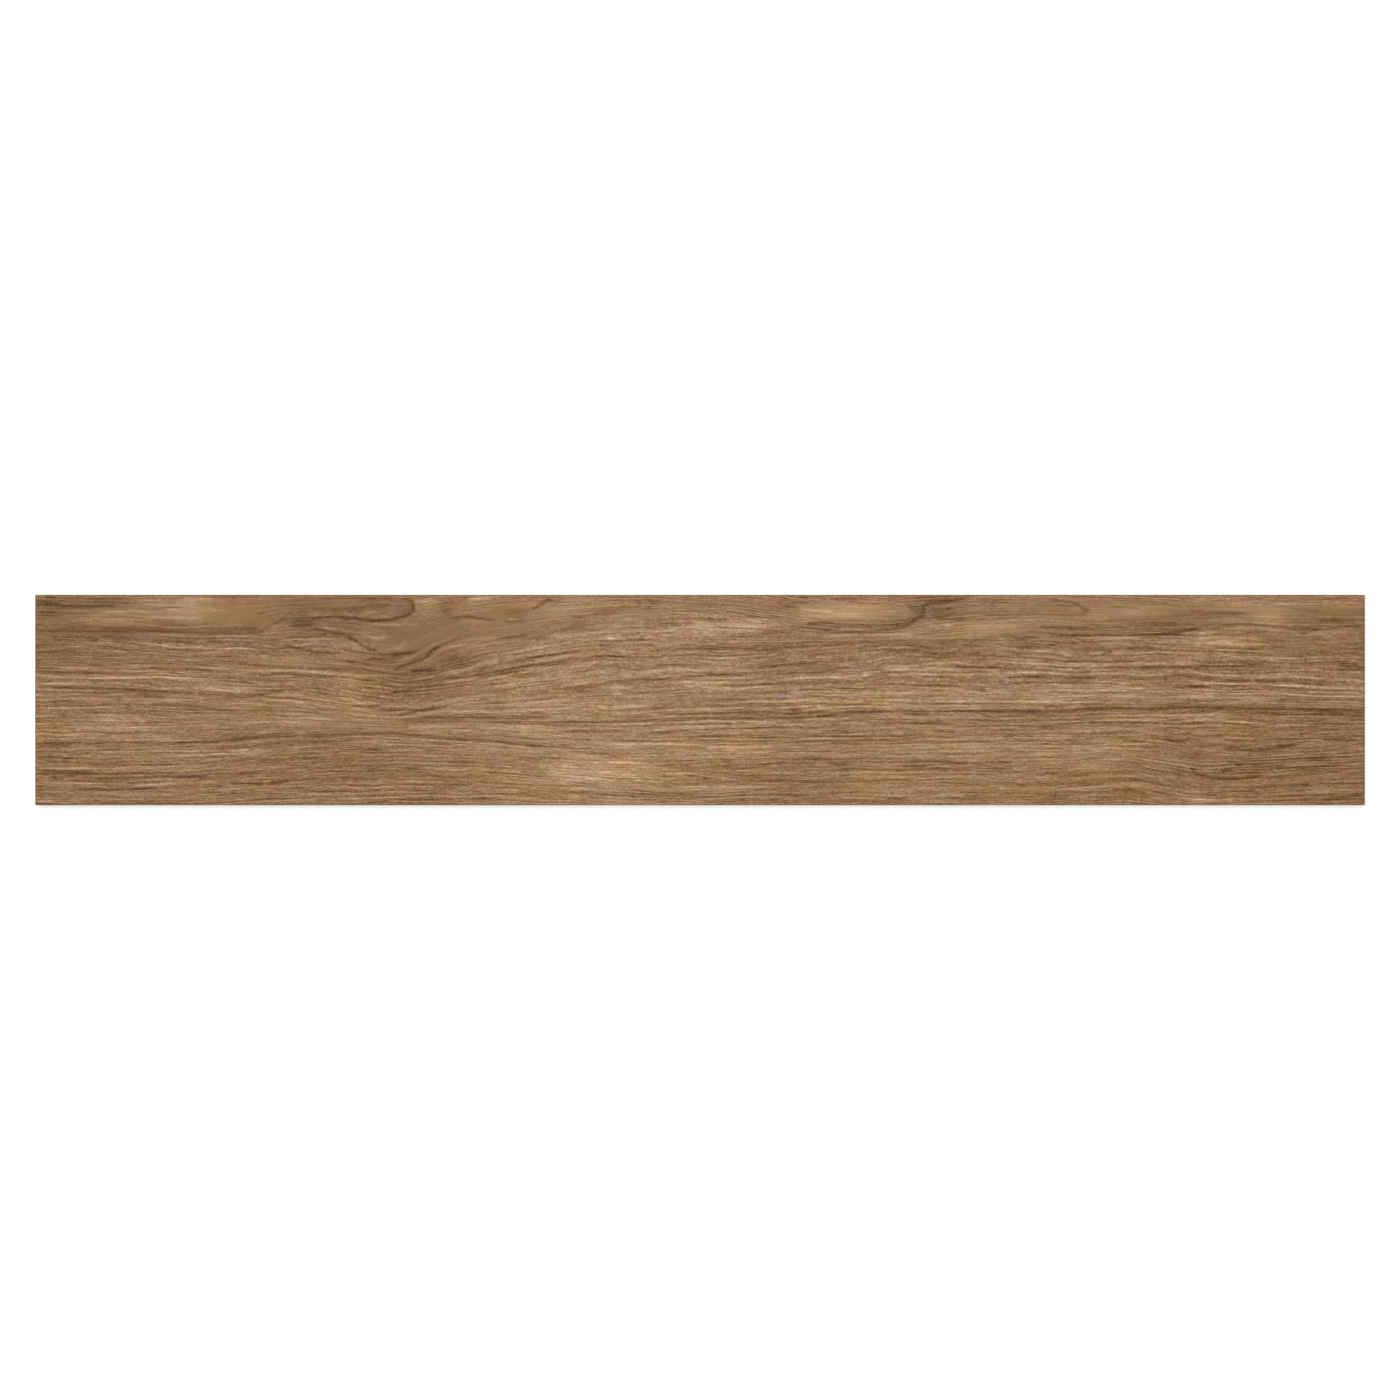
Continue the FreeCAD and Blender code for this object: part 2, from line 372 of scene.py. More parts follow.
    # Right of the lens, below the middle.
    (DEEP, (1001, 736, 1012, 736)),
    (DARK, (904, 714, 930, 713), (1004, 715, 1038, 713), (974, 711, 992, 717), (910, 723, 944, 722),
     (932, 730, 956, 731), (878, 761, 936, 760, 956, 762), (900, 766, 924, 766), (930, 768, 948, 769),
     (954, 763, 966, 762), (998, 762, 1012, 762), (986, 768, 1014, 769), (886, 798, 908, 798),
     # The last dark stroke here, on the lower edge's last row, is painted shade of the bevel in shadow.
     (936, 803, 943, 803)),
    (DARK_HAIR, (894, 728, 911, 728)),
    (SHADE, (910, 733, 924, 734), (964, 793, 980, 794)),
    (DUSK, (880, 723, 895, 723), (976, 720, 996, 720), (1000, 730, 1016, 729), (860, 737, 874, 738),
     (948, 797, 976, 799), (980, 801, 1000, 800)),
    (DUSK_HAIR, (862, 701, 896, 701)),
    (GLOW, (936, 750, 958, 750), (938, 719, 956, 720)),
    (PALE, (936, 727, 952, 727), (910, 786, 926, 786), (1000, 758, 1012, 758), (1016, 780, 1026, 780)),
    (PALE_HAIR, (870, 786, 888, 787), (882, 713, 895, 713)),
    # The long dark line and what lies round it, above the middle.
    (DEEP, (1102, 652, 1112, 651)),
    (DARK, (1048, 599, 1066, 601, 1076, 603), (1074, 602, 1084, 609), (1172, 687, 1203, 686)),
    (SHADE, (1038, 626, 1070, 628, 1106, 625), (1080, 608, 1090, 609), (1072, 614, 1088, 613),
     (1046, 643, 1078, 643), (1084, 644, 1108, 645), (1140, 668, 1164, 670), (1188, 611, 1203, 610),
     (1140, 622, 1180, 624)),
    (DUSK, (1054, 605, 1076, 606), (1108, 606, 1140, 608), (1116, 627, 1128, 627),
     (1062, 661, 1110, 662, 1138, 661), (1172, 687, 1196, 687), (1118, 646, 1160, 648),
     (1138, 650, 1150, 651), (1040, 660, 1100, 661), (1118, 660, 1138, 659), (1025, 676, 1042, 677),
     (1124, 678, 1142, 677), (1108, 677, 1120, 677), (1040, 682, 1084, 682, 1118, 683),
     (1130, 684, 1144, 684)),
    (DUSK_HAIR, (1150, 649, 1184, 650, 1226, 651), (1068, 676, 1090, 675), (1070, 693, 1130, 692)),
    (GLOW, (1050, 619, 1110, 619), (1150, 613, 1170, 613), (1180, 639, 1203, 640)),
    (PALE, (1160, 637, 1174, 636), (1056, 649, 1068, 648), (1178, 696, 1198, 695)),
    (BRIGHT, (1036, 651, 1048, 650)),
    # The same stretch, below the middle.
    (DEEP, (1190, 768, 1195, 769), (1189, 769, 1196, 769)),
    (DARK, (1120, 736, 1132, 736), (1122, 740, 1136, 740), (1166, 740, 1190, 740),
     (1152, 791, 1174, 796)),
    (DARK_HAIR, (1180, 722, 1203, 722), (1134, 741, 1144, 741), (1046, 772, 1056, 772)),
    (SHADE, (1025, 711, 1044, 712), (1138, 768, 1164, 771, 1203, 774), (1040, 714, 1080, 712),
     (1122, 788, 1146, 794)),
    (DUSK, (1040, 727, 1056, 727), (1160, 722, 1178, 719), (1084, 738, 1096, 737), (1142, 735, 1156, 735),
     (1162, 735, 1192, 733), (1140, 747, 1152, 748), (1160, 790, 1174, 791), (1098, 799, 1110, 797)),
    (DUSK_HAIR, (1048, 720, 1090, 718), (1070, 734, 1116, 733), (1150, 746, 1203, 746),
     (1034, 794, 1056, 795)),
    (GLOW, (1025, 701, 1060, 701), (1176, 797, 1200, 800)),
    (PALE, (1064, 707, 1082, 705), (1100, 759, 1120, 758)),
    (PALE_HAIR, (1046, 736, 1070, 736), (1096, 741, 1126, 741), (1066, 727, 1092, 727)),
    # The right end, above the middle.
    (DEEP, (1254, 680, 1276, 681)),
    (DARK, (1336, 663, 1362, 664), (1226, 679, 1252, 680), (1198, 678, 1216, 678),
     (1190, 686, 1214, 686)),
    (DARK_HAIR, (1225, 660, 1266, 661)),
    (SHADE, (1264, 640, 1284, 640), (1270, 646, 1284, 647), (1248, 649, 1262, 648),
     (1316, 621, 1352, 620)),
    (DUSK, (1214, 612, 1246, 613), (1290, 608, 1318, 611), (1310, 629, 1318, 629), (1240, 632, 1266, 632),
     (1200, 646, 1228, 646), (1312, 638, 1326, 639), (1330, 638, 1352, 639), (1296, 654, 1310, 653),
     (1334, 660, 1350, 660), (1276, 681, 1294, 680), (1318, 699, 1328, 699), (1346, 699, 1362, 699),
     (1192, 701, 1218, 700)),
    (GLOW, (1196, 640, 1240, 640), (1306, 633, 1350, 630), (1254, 616, 1280, 617)),
    (PALE, (1222, 628, 1256, 628)),
    (PALE_HAIR, (1190, 695, 1214, 696)),
    (BRIGHT, (1200, 634, 1207, 634), (1312, 669, 1318, 668)),
    # The right end, below the middle.
    (DEEP, (1322, 799, 1346, 796, 1362, 794)),
    (DARK, (1250, 713, 1288, 713), (1300, 731, 1300, 736), (1222, 749, 1252, 749), (1280, 746, 1294, 744),
     (1252, 748, 1280, 746), (1190, 773, 1216, 777, 1240, 777), (1272, 767, 1306, 767, 1330, 765),
     (1268, 768, 1272, 767), (1222, 770, 1232, 770), (1268, 786, 1310, 784), (1226, 760, 1242, 766),
     (1246, 765, 1260, 764), (1224, 748, 1236, 749, 1254, 750, 1274, 749),
     (1196, 775, 1212, 778, 1236, 779, 1262, 776), (1276, 747, 1296, 745)),
    (DARK_HAIR, (1190, 722, 1226, 721), (1322, 739, 1356, 740)),
    (SHADE, (1246, 773, 1264, 772), (1308, 759, 1326, 757), (1282, 759, 1304, 757)),
    (DUSK, (1310, 714, 1344, 714), (1196, 726, 1216, 727), (1214, 737, 1228, 732), (1196, 747, 1222, 744),
     (1330, 765, 1362, 760), (1240, 777, 1264, 775), (1302, 784, 1314, 785), (1316, 785, 1362, 783),
     (1220, 795, 1258, 797), (1200, 791, 1256, 790), (1296, 794, 1334, 794), (1304, 733, 1312, 733)),
    (DUSK_HAIR, (1280, 727, 1320, 726)),
    (GLOW, (1200, 740, 1226, 740), (1310, 790, 1362, 788)),
    (PALE, (1284, 765, 1326, 762), (1296, 777, 1345, 772, 1362, 770), (1238, 789, 1262, 789)),
    (PALE_HAIR, (1311, 740, 1322, 740)),
    (BRIGHT, (1194, 798, 1220, 800, 1234, 799)),
    # Long lines of the left half.
    (DEEP, (34, 631, 128, 631, 160, 631, 190, 632, 213, 633, 258, 633, 264, 630), (38, 611, 56, 612),
     (198, 694, 222, 695, 240, 696, 256, 696),
     (440, 679, 470, 676, 500, 671, 522, 667, 545, 664, 575, 660),
     (300, 736, 325, 735, 360, 733, 392, 733, 420, 736, 450, 738, 478, 739)),
    (DARK, (261, 632, 264, 628, 272, 624, 280, 620, 287, 616), (36, 671, 75, 672, 100, 673, 160, 674),
     (50, 687, 80, 688, 115, 688, 150, 690, 190, 692), (246, 664, 265, 666, 290, 667, 320, 668, 360, 669),
     (150, 742, 190, 742, 222, 741), (572, 660, 600, 657, 632, 655),
     (418, 717, 460, 717, 500, 718, 552, 717),
     (470, 722, 500, 722, 545, 722, 600, 721, 640, 720, 670, 719, 700, 718, 760, 718, 800, 717, 822, 716),
     (474, 739, 502, 741, 526, 744, 560, 747)),
    (DUSK, (160, 692, 200, 693), (196, 664, 215, 665), (225, 661, 245, 663),
     (424, 658, 434, 648, 440, 645)),
    (DUSK_HAIR, (264, 697, 292, 698)),
    (PALE, (85, 683, 120, 683, 145, 685, 162, 688), (108, 693, 140, 694), (155, 688, 190, 687),
     (165, 699, 205, 699), (97, 642, 113, 642),
     (298, 716, 320, 718, 340, 719, 365, 720, 395, 719, 412, 716, 427, 713, 440, 710, 455, 707),
     (200, 725, 220, 724), (256, 732, 280, 730), (294, 732, 305, 732), (36, 749, 60, 749, 100, 748),
     (115, 759, 160, 757, 200, 754), (222, 789, 258, 788, 296, 785), (275, 794, 295, 792, 330, 794),
     (36, 801, 80, 801), (485, 711, 530, 710, 570, 709, 625, 708), (470, 728, 520, 727, 545, 726),
     (380, 797, 420, 796, 465, 796), (515, 798, 540, 798)),
    (PALE_HAIR, (240, 722, 300, 722), (45, 708, 80, 707, 120, 707)),
    (BRIGHT, (160, 644, 180, 645, 215, 647, 255, 648), (36, 675, 65, 677, 100, 678, 150, 677, 192, 678),
     (36, 683, 90, 683), (58, 668, 92, 668), (190, 687, 210, 688, 228, 690, 242, 691),
     (196, 666, 220, 668, 250, 670, 300, 670, 335, 673, 360, 675, 385, 675, 396, 673),
     (266, 695, 300, 695, 315, 699, 335, 701), (262, 700, 290, 700, 305, 703),
     (170, 756, 213, 754, 262, 753), (36, 768, 95, 768), (36, 781, 60, 782, 95, 783),
     (135, 785, 165, 783, 215, 781), (422, 662, 432, 656, 440, 650, 450, 646, 466, 644),
     (443, 675, 460, 671, 480, 663, 500, 658, 520, 651, 542, 646, 560, 643), (450, 711, 490, 711),
     (552, 717, 578, 717), (406, 727, 430, 726, 466, 726), (595, 742, 622, 742),
     (322, 627, 345, 630, 364, 633), (560, 765, 578, 767), (212, 635, 258, 635)),
    (SHADE, (36, 629, 100, 628, 160, 629, 258, 630), (88, 778, 213, 776), (411, 671, 436, 669)),
    # Long lines of the right half.
    (DEEP,
     (868, 630, 890, 629, 905, 626, 913, 620, 921, 615, 922, 607, 928, 602, 946, 601, 962, 598, 976, 595),
     (1045, 636, 1066, 635, 1100, 634, 1150, 634, 1165, 633, 1178, 632, 1190, 629, 1210, 625)),
    (DARK, (676, 648, 720, 648, 790, 647, 822, 645, 850, 642, 873, 641),
     (715, 685, 750, 684, 790, 683, 840, 682, 880, 683), (910, 685, 960, 685),
     (796, 690, 815, 689, 835, 688, 860, 689, 884, 690), (940, 667, 985, 666, 1012, 667),
     (1098, 668, 1120, 667, 1165, 666, 1210, 666, 1250, 666), (1196, 666, 1240, 666),
     (672, 714, 700, 714, 745, 714, 800, 713, 845, 711, 890, 711, 950, 710, 1008, 711, 1045, 711,
      1066, 710, 1086, 708, 1110, 708, 1150, 708, 1180, 707, 1230, 707, 1260, 708, 1290, 709, 1362, 710),
     (1076, 722, 1100, 722, 1136, 722, 1164, 722),
     (995, 782, 1020, 784, 1060, 784, 1090, 783, 1115, 780, 1140, 780, 1165, 785, 1190, 790),
     (1084, 607, 1086, 611, 1080, 615),
     (1204, 625, 1240, 624, 1265, 625, 1290, 628, 1320, 629, 1345, 626, 1362, 624)),
    (DARK_HAIR, (800, 736, 863, 736, 917, 734), (1140, 649, 1175, 650, 1220, 651, 1264, 653),
     (1216, 686, 1250, 685, 1280, 687, 1300, 689, 1330, 690, 1362, 690)),
    (SHADE, (1152, 633, 1180, 632), (1200, 613, 1242, 614)),
    (DUSK, (672, 677, 706, 675, 754, 674, 806, 672, 840, 669), (878, 683, 916, 685), (700, 693, 750, 691),
     (1008, 667, 1048, 667, 1090, 668), (680, 703, 702, 702), (720, 699, 742, 698), (842, 712, 892, 711),
     (940, 711, 1005, 711), (1084, 708, 1122, 708), (1176, 707, 1232, 707),
     (1240, 708, 1300, 709, 1362, 710), (690, 740, 770, 741, 830, 741, 880, 740, 940, 741, 1000, 741),
     (740, 779, 790, 781, 850, 781, 900, 780, 940, 779, 985, 779), (1337, 753, 1362, 752),
     (1036, 614, 1075, 615)),
    (DUSK_HAIR, (880, 672, 910, 671, 950, 672), (700, 736, 740, 737, 782, 737),
     (1005, 725, 1050, 725, 1082, 723)),
    (GLOW, (790, 677, 860, 677)),
    (PALE, (846, 692, 885, 693, 930, 691),
     (990, 673, 1050, 672, 1100, 672, 1150, 673, 1175, 671, 1195, 672, 1212, 675, 1240, 676, 1290, 676,
      1320, 678, 1362, 679), (926, 663, 945, 661, 990, 662), (1045, 664, 1100, 664, 1140, 663),
     (840, 701, 873, 702, 896, 702), (776, 708, 805, 706, 840, 705), (620, 707, 648, 706),
     (650, 723, 680, 722, 700, 721, 740, 720, 790, 721), (835, 722, 866, 723), (640, 742, 690, 745),
     (705, 748, 740, 751, 770, 751), (735, 770, 760, 771, 800, 772, 850, 772, 905, 771),
     (660, 772, 690, 773, 712, 776, 742, 781), (674, 776, 702, 778), (1310, 657, 1362, 657),
     (985, 691, 1020, 692, 1045, 690, 1100, 690), (1225, 694, 1250, 693, 1276, 692, 1290, 693),
     (1200, 702, 1242, 703), (1308, 703, 1362, 702), (1122, 705, 1168, 705),
     (960, 717, 1000, 718, 1060, 718, 1080, 716), (1305, 792, 1330, 791),
     (1075, 638, 1110, 638, 1150, 639, 1190, 640),
     (985, 771, 1010, 774, 1045, 777, 1080, 777, 1100, 775, 1130, 774, 1160, 776, 1195, 779),
     (1256, 628, 1275, 630, 1300, 633),
     (985, 784, 1010, 788, 1045, 790, 1080, 788, 1110, 785, 1130, 784, 1150, 786, 1172, 790)),
    (PALE_HAIR, (630, 723, 652, 723), (655, 727, 700, 726, 742, 725), (700, 738, 760, 739),
     (800, 738, 850, 738, 900, 737), (780, 753, 840, 753), (985, 701, 1050, 701, 1100, 700)),
    (BRIGHT, (790, 693, 812, 691, 850, 692), (782, 678, 810, 677, 862, 676),
     (880, 675, 910, 674, 960, 674, 1000, 673), (878, 664, 915, 665, 930, 663),
     (985, 662, 1010, 662, 1050, 664), (745, 701, 775, 701, 800, 700, 845, 701),
     (660, 710, 690, 709, 720, 709, 750, 708, 780, 708), (620, 724, 655, 723), (803, 719, 835, 719),
     (685, 744, 710, 746, 740, 747, 775, 747), (1058, 655, 1076, 655),
     (1215, 654, 1245, 656, 1285, 658, 1300, 658),
     (1168, 683, 1230, 683, 1262, 684, 1290, 685, 1310, 686, 1330, 688, 1362, 688),
     (1095, 690, 1145, 688), (1284, 693, 1302, 695, 1324, 696, 1362, 696),
     (1076, 717, 1100, 715, 1180, 715, 1225, 715, 1250, 717, 1280, 719, 1320, 719, 1362, 720),
     (980, 723, 1040, 723, 1065, 721, 1090, 720, 1130, 719, 1170, 720),
     (1182, 720, 1220, 720, 1240, 722, 1262, 724, 1290, 725, 1314, 725)),
)

# Soft patches of the print: tone in levels, middle column and row, then half length and half width.
PATCH_REACH = 2.5  # a patch is worked out to this many times its half sizes
PATCHES = (
    # The left end.
    (11, 40, 735, 10, 6), (-13, 46, 604, 20, 8), (9, 50, 711, 22, 7), (-8, 60, 611, 24, 5),
    (-5, 60, 651, 40, 5), (-12, 62, 604, 40, 5), (-6, 70, 756, 24, 7), (5, 70, 789, 20, 5),
    (7, 70, 792, 30, 6), (12, 75, 737, 24, 6), (5, 78, 638, 14, 4), (-7, 80, 778, 20, 4),
    (-9, 88, 611, 14, 5), (-6, 90, 692, 30, 5), (16, 105, 722, 32, 9), (-14, 108, 602, 20, 6),
    (6, 110, 618, 45, 6), (-10, 110, 685, 30, 6), (-10, 115, 774, 16, 6), (-7, 118, 638, 24, 4),
    (-6, 130, 604, 14, 5), (-9, 130, 691, 12, 5), (7, 134, 667, 10, 6), (7, 136, 712, 10, 6),
    (-10, 145, 693, 20, 6), (8, 148, 648, 12, 4), (-8, 150, 710, 12, 5), (-8, 155, 667, 16, 5),
    (-8, 165, 627, 10, 5), (8, 170, 606, 50, 8), (-9, 172, 800, 20, 4), (8, 180, 788, 26, 5),
    (12, 188, 610, 16, 9), (-6, 190, 694, 10, 6), (7, 196, 612, 6, 8), (6, 200, 652, 14, 6),
    # Left of the knot.
    (10, 215, 692, 34, 6), (-10, 222, 695, 22, 7), (-7, 230, 694, 6, 7), (-6, 235, 640, 34, 5),
    (7, 246, 636, 14, 5), (6, 246, 648, 16, 6), (-6, 250, 629, 18, 4), (-9, 252, 626, 8, 5),
    (9, 252, 799, 20, 5), (-8, 266, 707, 6, 5), (-10, 267, 695, 18, 7), (-8, 270, 617, 14, 7),
    (10, 270, 673, 26, 6), (9, 280, 716, 22, 5), (-6, 288, 778, 16, 4), (7, 292, 717, 14, 5),
    (-10, 300, 604, 30, 6), (9, 300, 671, 20, 5), (-8, 300, 742, 50, 5), (-9, 302, 612, 10, 6),
    (-14, 302, 621, 14, 6), (-8, 306, 630, 8, 5), (11, 312, 660, 45, 9), (10, 314, 645, 20, 6),
    (-7, 315, 695, 10, 6), (-6, 316, 658, 14, 6), (12, 326, 716, 24, 6), (9, 328, 709, 14, 6),
    (-6, 330, 755, 80, 14), (9, 334, 649, 12, 5), (-8, 340, 615, 14, 8), (9, 344, 677, 20, 6),
    (-8, 345, 775, 14, 6), (-8, 348, 616, 16, 5), (8, 350, 690, 10, 7), (-8, 362, 661, 14, 5),
    (10, 362, 716, 16, 5), (8, 364, 632, 10, 6), (9, 368, 723, 16, 5), (-6, 370, 614, 40, 18),
    # The knot, and under it.
    (-8, 378, 604, 20, 5), (16, 378, 637, 12, 7), (8, 385, 738, 36, 9), (-11, 390, 657, 9, 6),
    (8, 396, 607, 12, 5), (6, 398, 721, 14, 5), (-14, 402, 607, 9, 7), (-6, 405, 692, 16, 5),
    (-8, 408, 608, 7, 6), (-7, 414, 671, 12, 5), (6, 420, 760, 30, 10), (9, 424, 608, 16, 8),
    (6, 424, 612, 6, 6), (-10, 425, 686, 40, 10), (9, 436, 734, 16, 8), (-6, 440, 656, 40, 14),
    (-6, 440, 790, 16, 8), (-12, 445, 610, 8, 7), (-8, 446, 611, 6, 5), (6, 455, 768, 10, 8),
    (-7, 456, 633, 8, 6), (-10, 456, 658, 10, 7), (-12, 460, 762, 10, 11), (-8, 466, 664, 20, 8),
    (6, 466, 672, 12, 5), (-6, 470, 708, 26, 4), (-6, 470, 780, 24, 5), (7, 472, 641, 12, 6),
    (8, 482, 600, 10, 5), (6, 490, 735, 10, 6), (-9, 492, 703, 14, 8), (-7, 500, 703, 8, 6),
    (-6, 505, 606, 14, 6), (11, 505, 684, 14, 5), (-8, 505, 746, 8, 5), (-13, 512, 671, 16, 5),
    (-11, 516, 617, 8, 6), (-7, 516, 671, 8, 5), (-10, 520, 636, 20, 6), (-7, 525, 797, 40, 5),
    (9, 530, 733, 20, 6), (8, 535, 706, 14, 7), (-6, 535, 762, 14, 5), (-8, 540, 635, 10, 5),
    # Right of the knot.
    (-7, 542, 692, 14, 6), (8, 546, 650, 22, 6), (-14, 548, 600, 14, 4), (-9, 550, 657, 12, 5),
    (-9, 551, 756, 14, 6), (8, 552, 770, 14, 6), (9, 565, 608, 24, 7), (6, 570, 775, 12, 6),
    (-7, 572, 625, 14, 6), (-8, 572, 724, 20, 6), (-7, 580, 622, 8, 6), (-14, 580, 690, 40, 8),
    (-7, 600, 612, 12, 6), (-6, 600, 614, 8, 6), (7, 600, 768, 60, 14), (8, 606, 727, 12, 4),
    (13, 610, 776, 50, 11), (6, 612, 637, 40, 7), (8, 614, 686, 10, 4), (-8, 615, 650, 40, 10),
    (-6, 620, 752, 24, 4), (-11, 625, 602, 24, 5), (8, 628, 744, 10, 4), (6, 630, 650, 12, 4),
    (11, 630, 745, 16, 5), (-6, 640, 682, 70, 20), (-7, 645, 720, 16, 5), (-13, 652, 602, 12, 5),
    (7, 655, 632, 16, 5), (-7, 655, 725, 34, 6), (-9, 656, 691, 26, 6), (10, 660, 734, 16, 6),
    (6, 670, 746, 20, 6), (-8, 672, 760, 34, 9), (-7, 676, 690, 18, 4), (11, 690, 631, 20, 6),
    (-7, 690, 764, 14, 8), (-9, 700, 738, 14, 4),
    # Left of the lens.
    (9, 705, 627, 12, 8), (7, 712, 714, 20, 7), (7, 716, 790, 14, 7), (5, 720, 686, 20, 8),
    (-7, 722, 729, 24, 5), (-8, 722, 764, 12, 5), (-6, 735, 726, 12, 4), (6, 736, 775, 16, 6),
    (18, 739, 625, 34, 8), (-9, 740, 767, 20, 6), (10, 742, 625, 28, 5), (-6, 750, 691, 8, 5),
    (8, 760, 649, 12, 5), (8, 765, 617, 22, 6), (-6, 770, 650, 40, 5), (6, 770, 743, 24, 6),
    (-6, 778, 608, 24, 6), (-8, 780, 660, 24, 5), (-11, 782, 603, 10, 9), (-6, 788, 693, 8, 5),
    (6, 795, 697, 20, 6), (9, 798, 653, 10, 6), (-9, 800, 760, 34, 6), (-6, 800, 778, 44, 14),
    (5, 805, 790, 40, 5), (11, 806, 621, 8, 5), (-6, 810, 675, 30, 4), (-9, 815, 670, 30, 6),
    (9, 815, 744, 12, 5), (6, 818, 744, 10, 4), (-9, 818, 790, 40, 10), (-8, 830, 800, 60, 4),
    (12, 832, 614, 40, 7), (13, 835, 610, 45, 8), (-9, 842, 770, 10, 7), (-7, 846, 645, 14, 4),
    (-5, 848, 718, 14, 6), (5, 850, 682, 40, 20), (-6, 852, 599, 14, 4), (-9, 852, 671, 10, 5),
    (8, 855, 609, 26, 8), (-6, 855, 726, 24, 4), (-8, 856, 765, 18, 6), (9, 858, 683, 8, 6),
    (7, 862, 733, 14, 5),
    # The lens and right of it.
    (-8, 880, 672, 8, 7), (-6, 880, 674, 10, 6), (12, 891, 750, 22, 5), (14, 895, 704, 18, 7),
    (-12, 906, 623, 10, 5), (14, 912, 633, 14, 6), (-8, 914, 767, 12, 5), (-16, 916, 613, 8, 10),
    (-11, 918, 652, 34, 9), (7, 920, 675, 12, 6), (9, 925, 749, 16, 6), (-7, 932, 606, 18, 7),
    (-7, 934, 613, 14, 8), (8, 935, 624, 16, 5), (-21, 936, 601, 28, 7), (-7, 940, 613, 12, 7),
    (-7, 942, 655, 10, 5), (-8, 944, 612, 20, 7), (7, 945, 666, 14, 5), (-6, 945, 697, 8, 6),
    (-6, 945, 768, 26, 4), (-9, 952, 600, 12, 4), (10, 952, 704, 14, 7), (8, 958, 706, 12, 5),
    (10, 967, 747, 16, 5), (-6, 970, 657, 20, 6), (7, 970, 737, 30, 5), (-9, 975, 670, 44, 7),
    (8, 976, 709, 6, 5), (6, 980, 698, 10, 8), (7, 985, 630, 60, 7), (-8, 985, 657, 16, 5),
    (-8, 985, 791, 18, 5), (10, 990, 626, 40, 6), (-7, 1000, 599, 10, 4), (-7, 1000, 600, 12, 5),
    (6, 1000, 627, 40, 6), (-7, 1000, 725, 10, 4), (8, 1000, 747, 44, 7), (-6, 1010, 790, 12, 4),
    (-14, 1015, 721, 48, 5), (-7, 1022, 632, 20, 5), (-5, 1030, 645, 30, 5), (9, 1032, 667, 12, 6),
    (-9, 1034, 719, 8, 5), (10, 1035, 618, 26, 6), (-10, 1036, 680, 14, 7),
    # The long dark line and what lies round it.
    (6, 1042, 754, 14, 6), (12, 1045, 700, 26, 6), (-6, 1048, 673, 16, 5), (-8, 1062, 776, 20, 4),
    (-6, 1066, 742, 20, 5), (-10, 1070, 629, 40, 5), (-13, 1072, 681, 14, 7), (-8, 1080, 797, 60, 5),
    (-11, 1085, 678, 16, 6), (14, 1085, 683, 26, 10), (8, 1085, 750, 40, 9), (-12, 1090, 712, 12, 6),
    (13, 1096, 614, 20, 6), (-11, 1096, 714, 16, 5), (7, 1100, 765, 12, 8), (-9, 1102, 650, 18, 5),
    (-6, 1108, 656, 6, 8), (8, 1110, 639, 24, 5), (7, 1112, 636, 16, 6), (9, 1115, 697, 50, 6),
    (7, 1122, 684, 8, 6), (-6, 1128, 780, 20, 8), (8, 1130, 611, 16, 5), (-12, 1130, 716, 10, 6),
    (8, 1132, 610, 52, 8), (-10, 1135, 627, 16, 5), (8, 1136, 612, 14, 6), (10, 1150, 735, 24, 6),
    (-8, 1155, 712, 14, 4), (-8, 1160, 623, 28, 5), (-7, 1160, 735, 14, 5), (-7, 1165, 668, 24, 5),
    (-12, 1165, 774, 16, 7), (-8, 1170, 667, 16, 5), (-6, 1170, 671, 14, 5), (-9, 1172, 722, 12, 6),
    (-7, 1172, 723, 10, 5), (-6, 1180, 680, 24, 6), (7, 1180, 770, 24, 7), (-8, 1180, 774, 8, 7),
    (-8, 1184, 801, 7, 4), (-8, 1185, 750, 40, 5), (-8, 1186, 757, 12, 6), (-8, 1190, 628, 10, 6),
    (-6, 1195, 757, 8, 6), (12, 1195, 799, 14, 5), (8, 1200, 600, 30, 5), (6, 1200, 654, 20, 5),
    (-7, 1200, 736, 10, 5), (-11, 1202, 712, 16, 4),
    # The right end.
    (9, 1204, 633, 10, 6), (8, 1205, 800, 14, 4), (-8, 1206, 665, 10, 5), (-5, 1210, 682, 40, 20),
    (7, 1212, 691, 8, 7), (8, 1212, 740, 14, 4), (8, 1215, 640, 36, 5), (20, 1218, 643, 46, 9),
    (11, 1226, 620, 16, 6), (8, 1230, 606, 24, 7), (-12, 1236, 712, 12, 5), (-6, 1240, 768, 30, 9),
    (-10, 1242, 666, 14, 6), (-10, 1242, 715, 14, 5), (-7, 1250, 668, 12, 5), (11, 1250, 700, 24, 6),
    (-9, 1250, 789, 12, 5), (11, 1258, 624, 18, 8), (7, 1262, 698, 20, 5), (6, 1266, 616, 18, 6),
    (5, 1268, 612, 24, 8), (-7, 1270, 645, 18, 5), (14, 1275, 607, 40, 10), (-7, 1275, 789, 30, 4),
    (11, 1276, 622, 14, 8), (-7, 1280, 720, 30, 4), (9, 1282, 771, 18, 8), (-14, 1285, 763, 55, 14),
    (9, 1290, 645, 40, 7), (-6, 1290, 730, 80, 8), (9, 1294, 757, 12, 7), (-6, 1300, 718, 60, 6),
    (-9, 1310, 686, 12, 6), (10, 1318, 690, 36, 8), (-8, 1322, 757, 20, 5), (-8, 1330, 617, 36, 6),
    (-6, 1330, 695, 14, 5), (-8, 1330, 712, 50, 5), (7, 1335, 637, 24, 6), (12, 1348, 605, 20, 8),
    (6, 1350, 634, 14, 6), (-6, 1350, 666, 14, 6), (9, 1360, 698, 8, 7), (-7, 1360, 712, 8, 5),
)

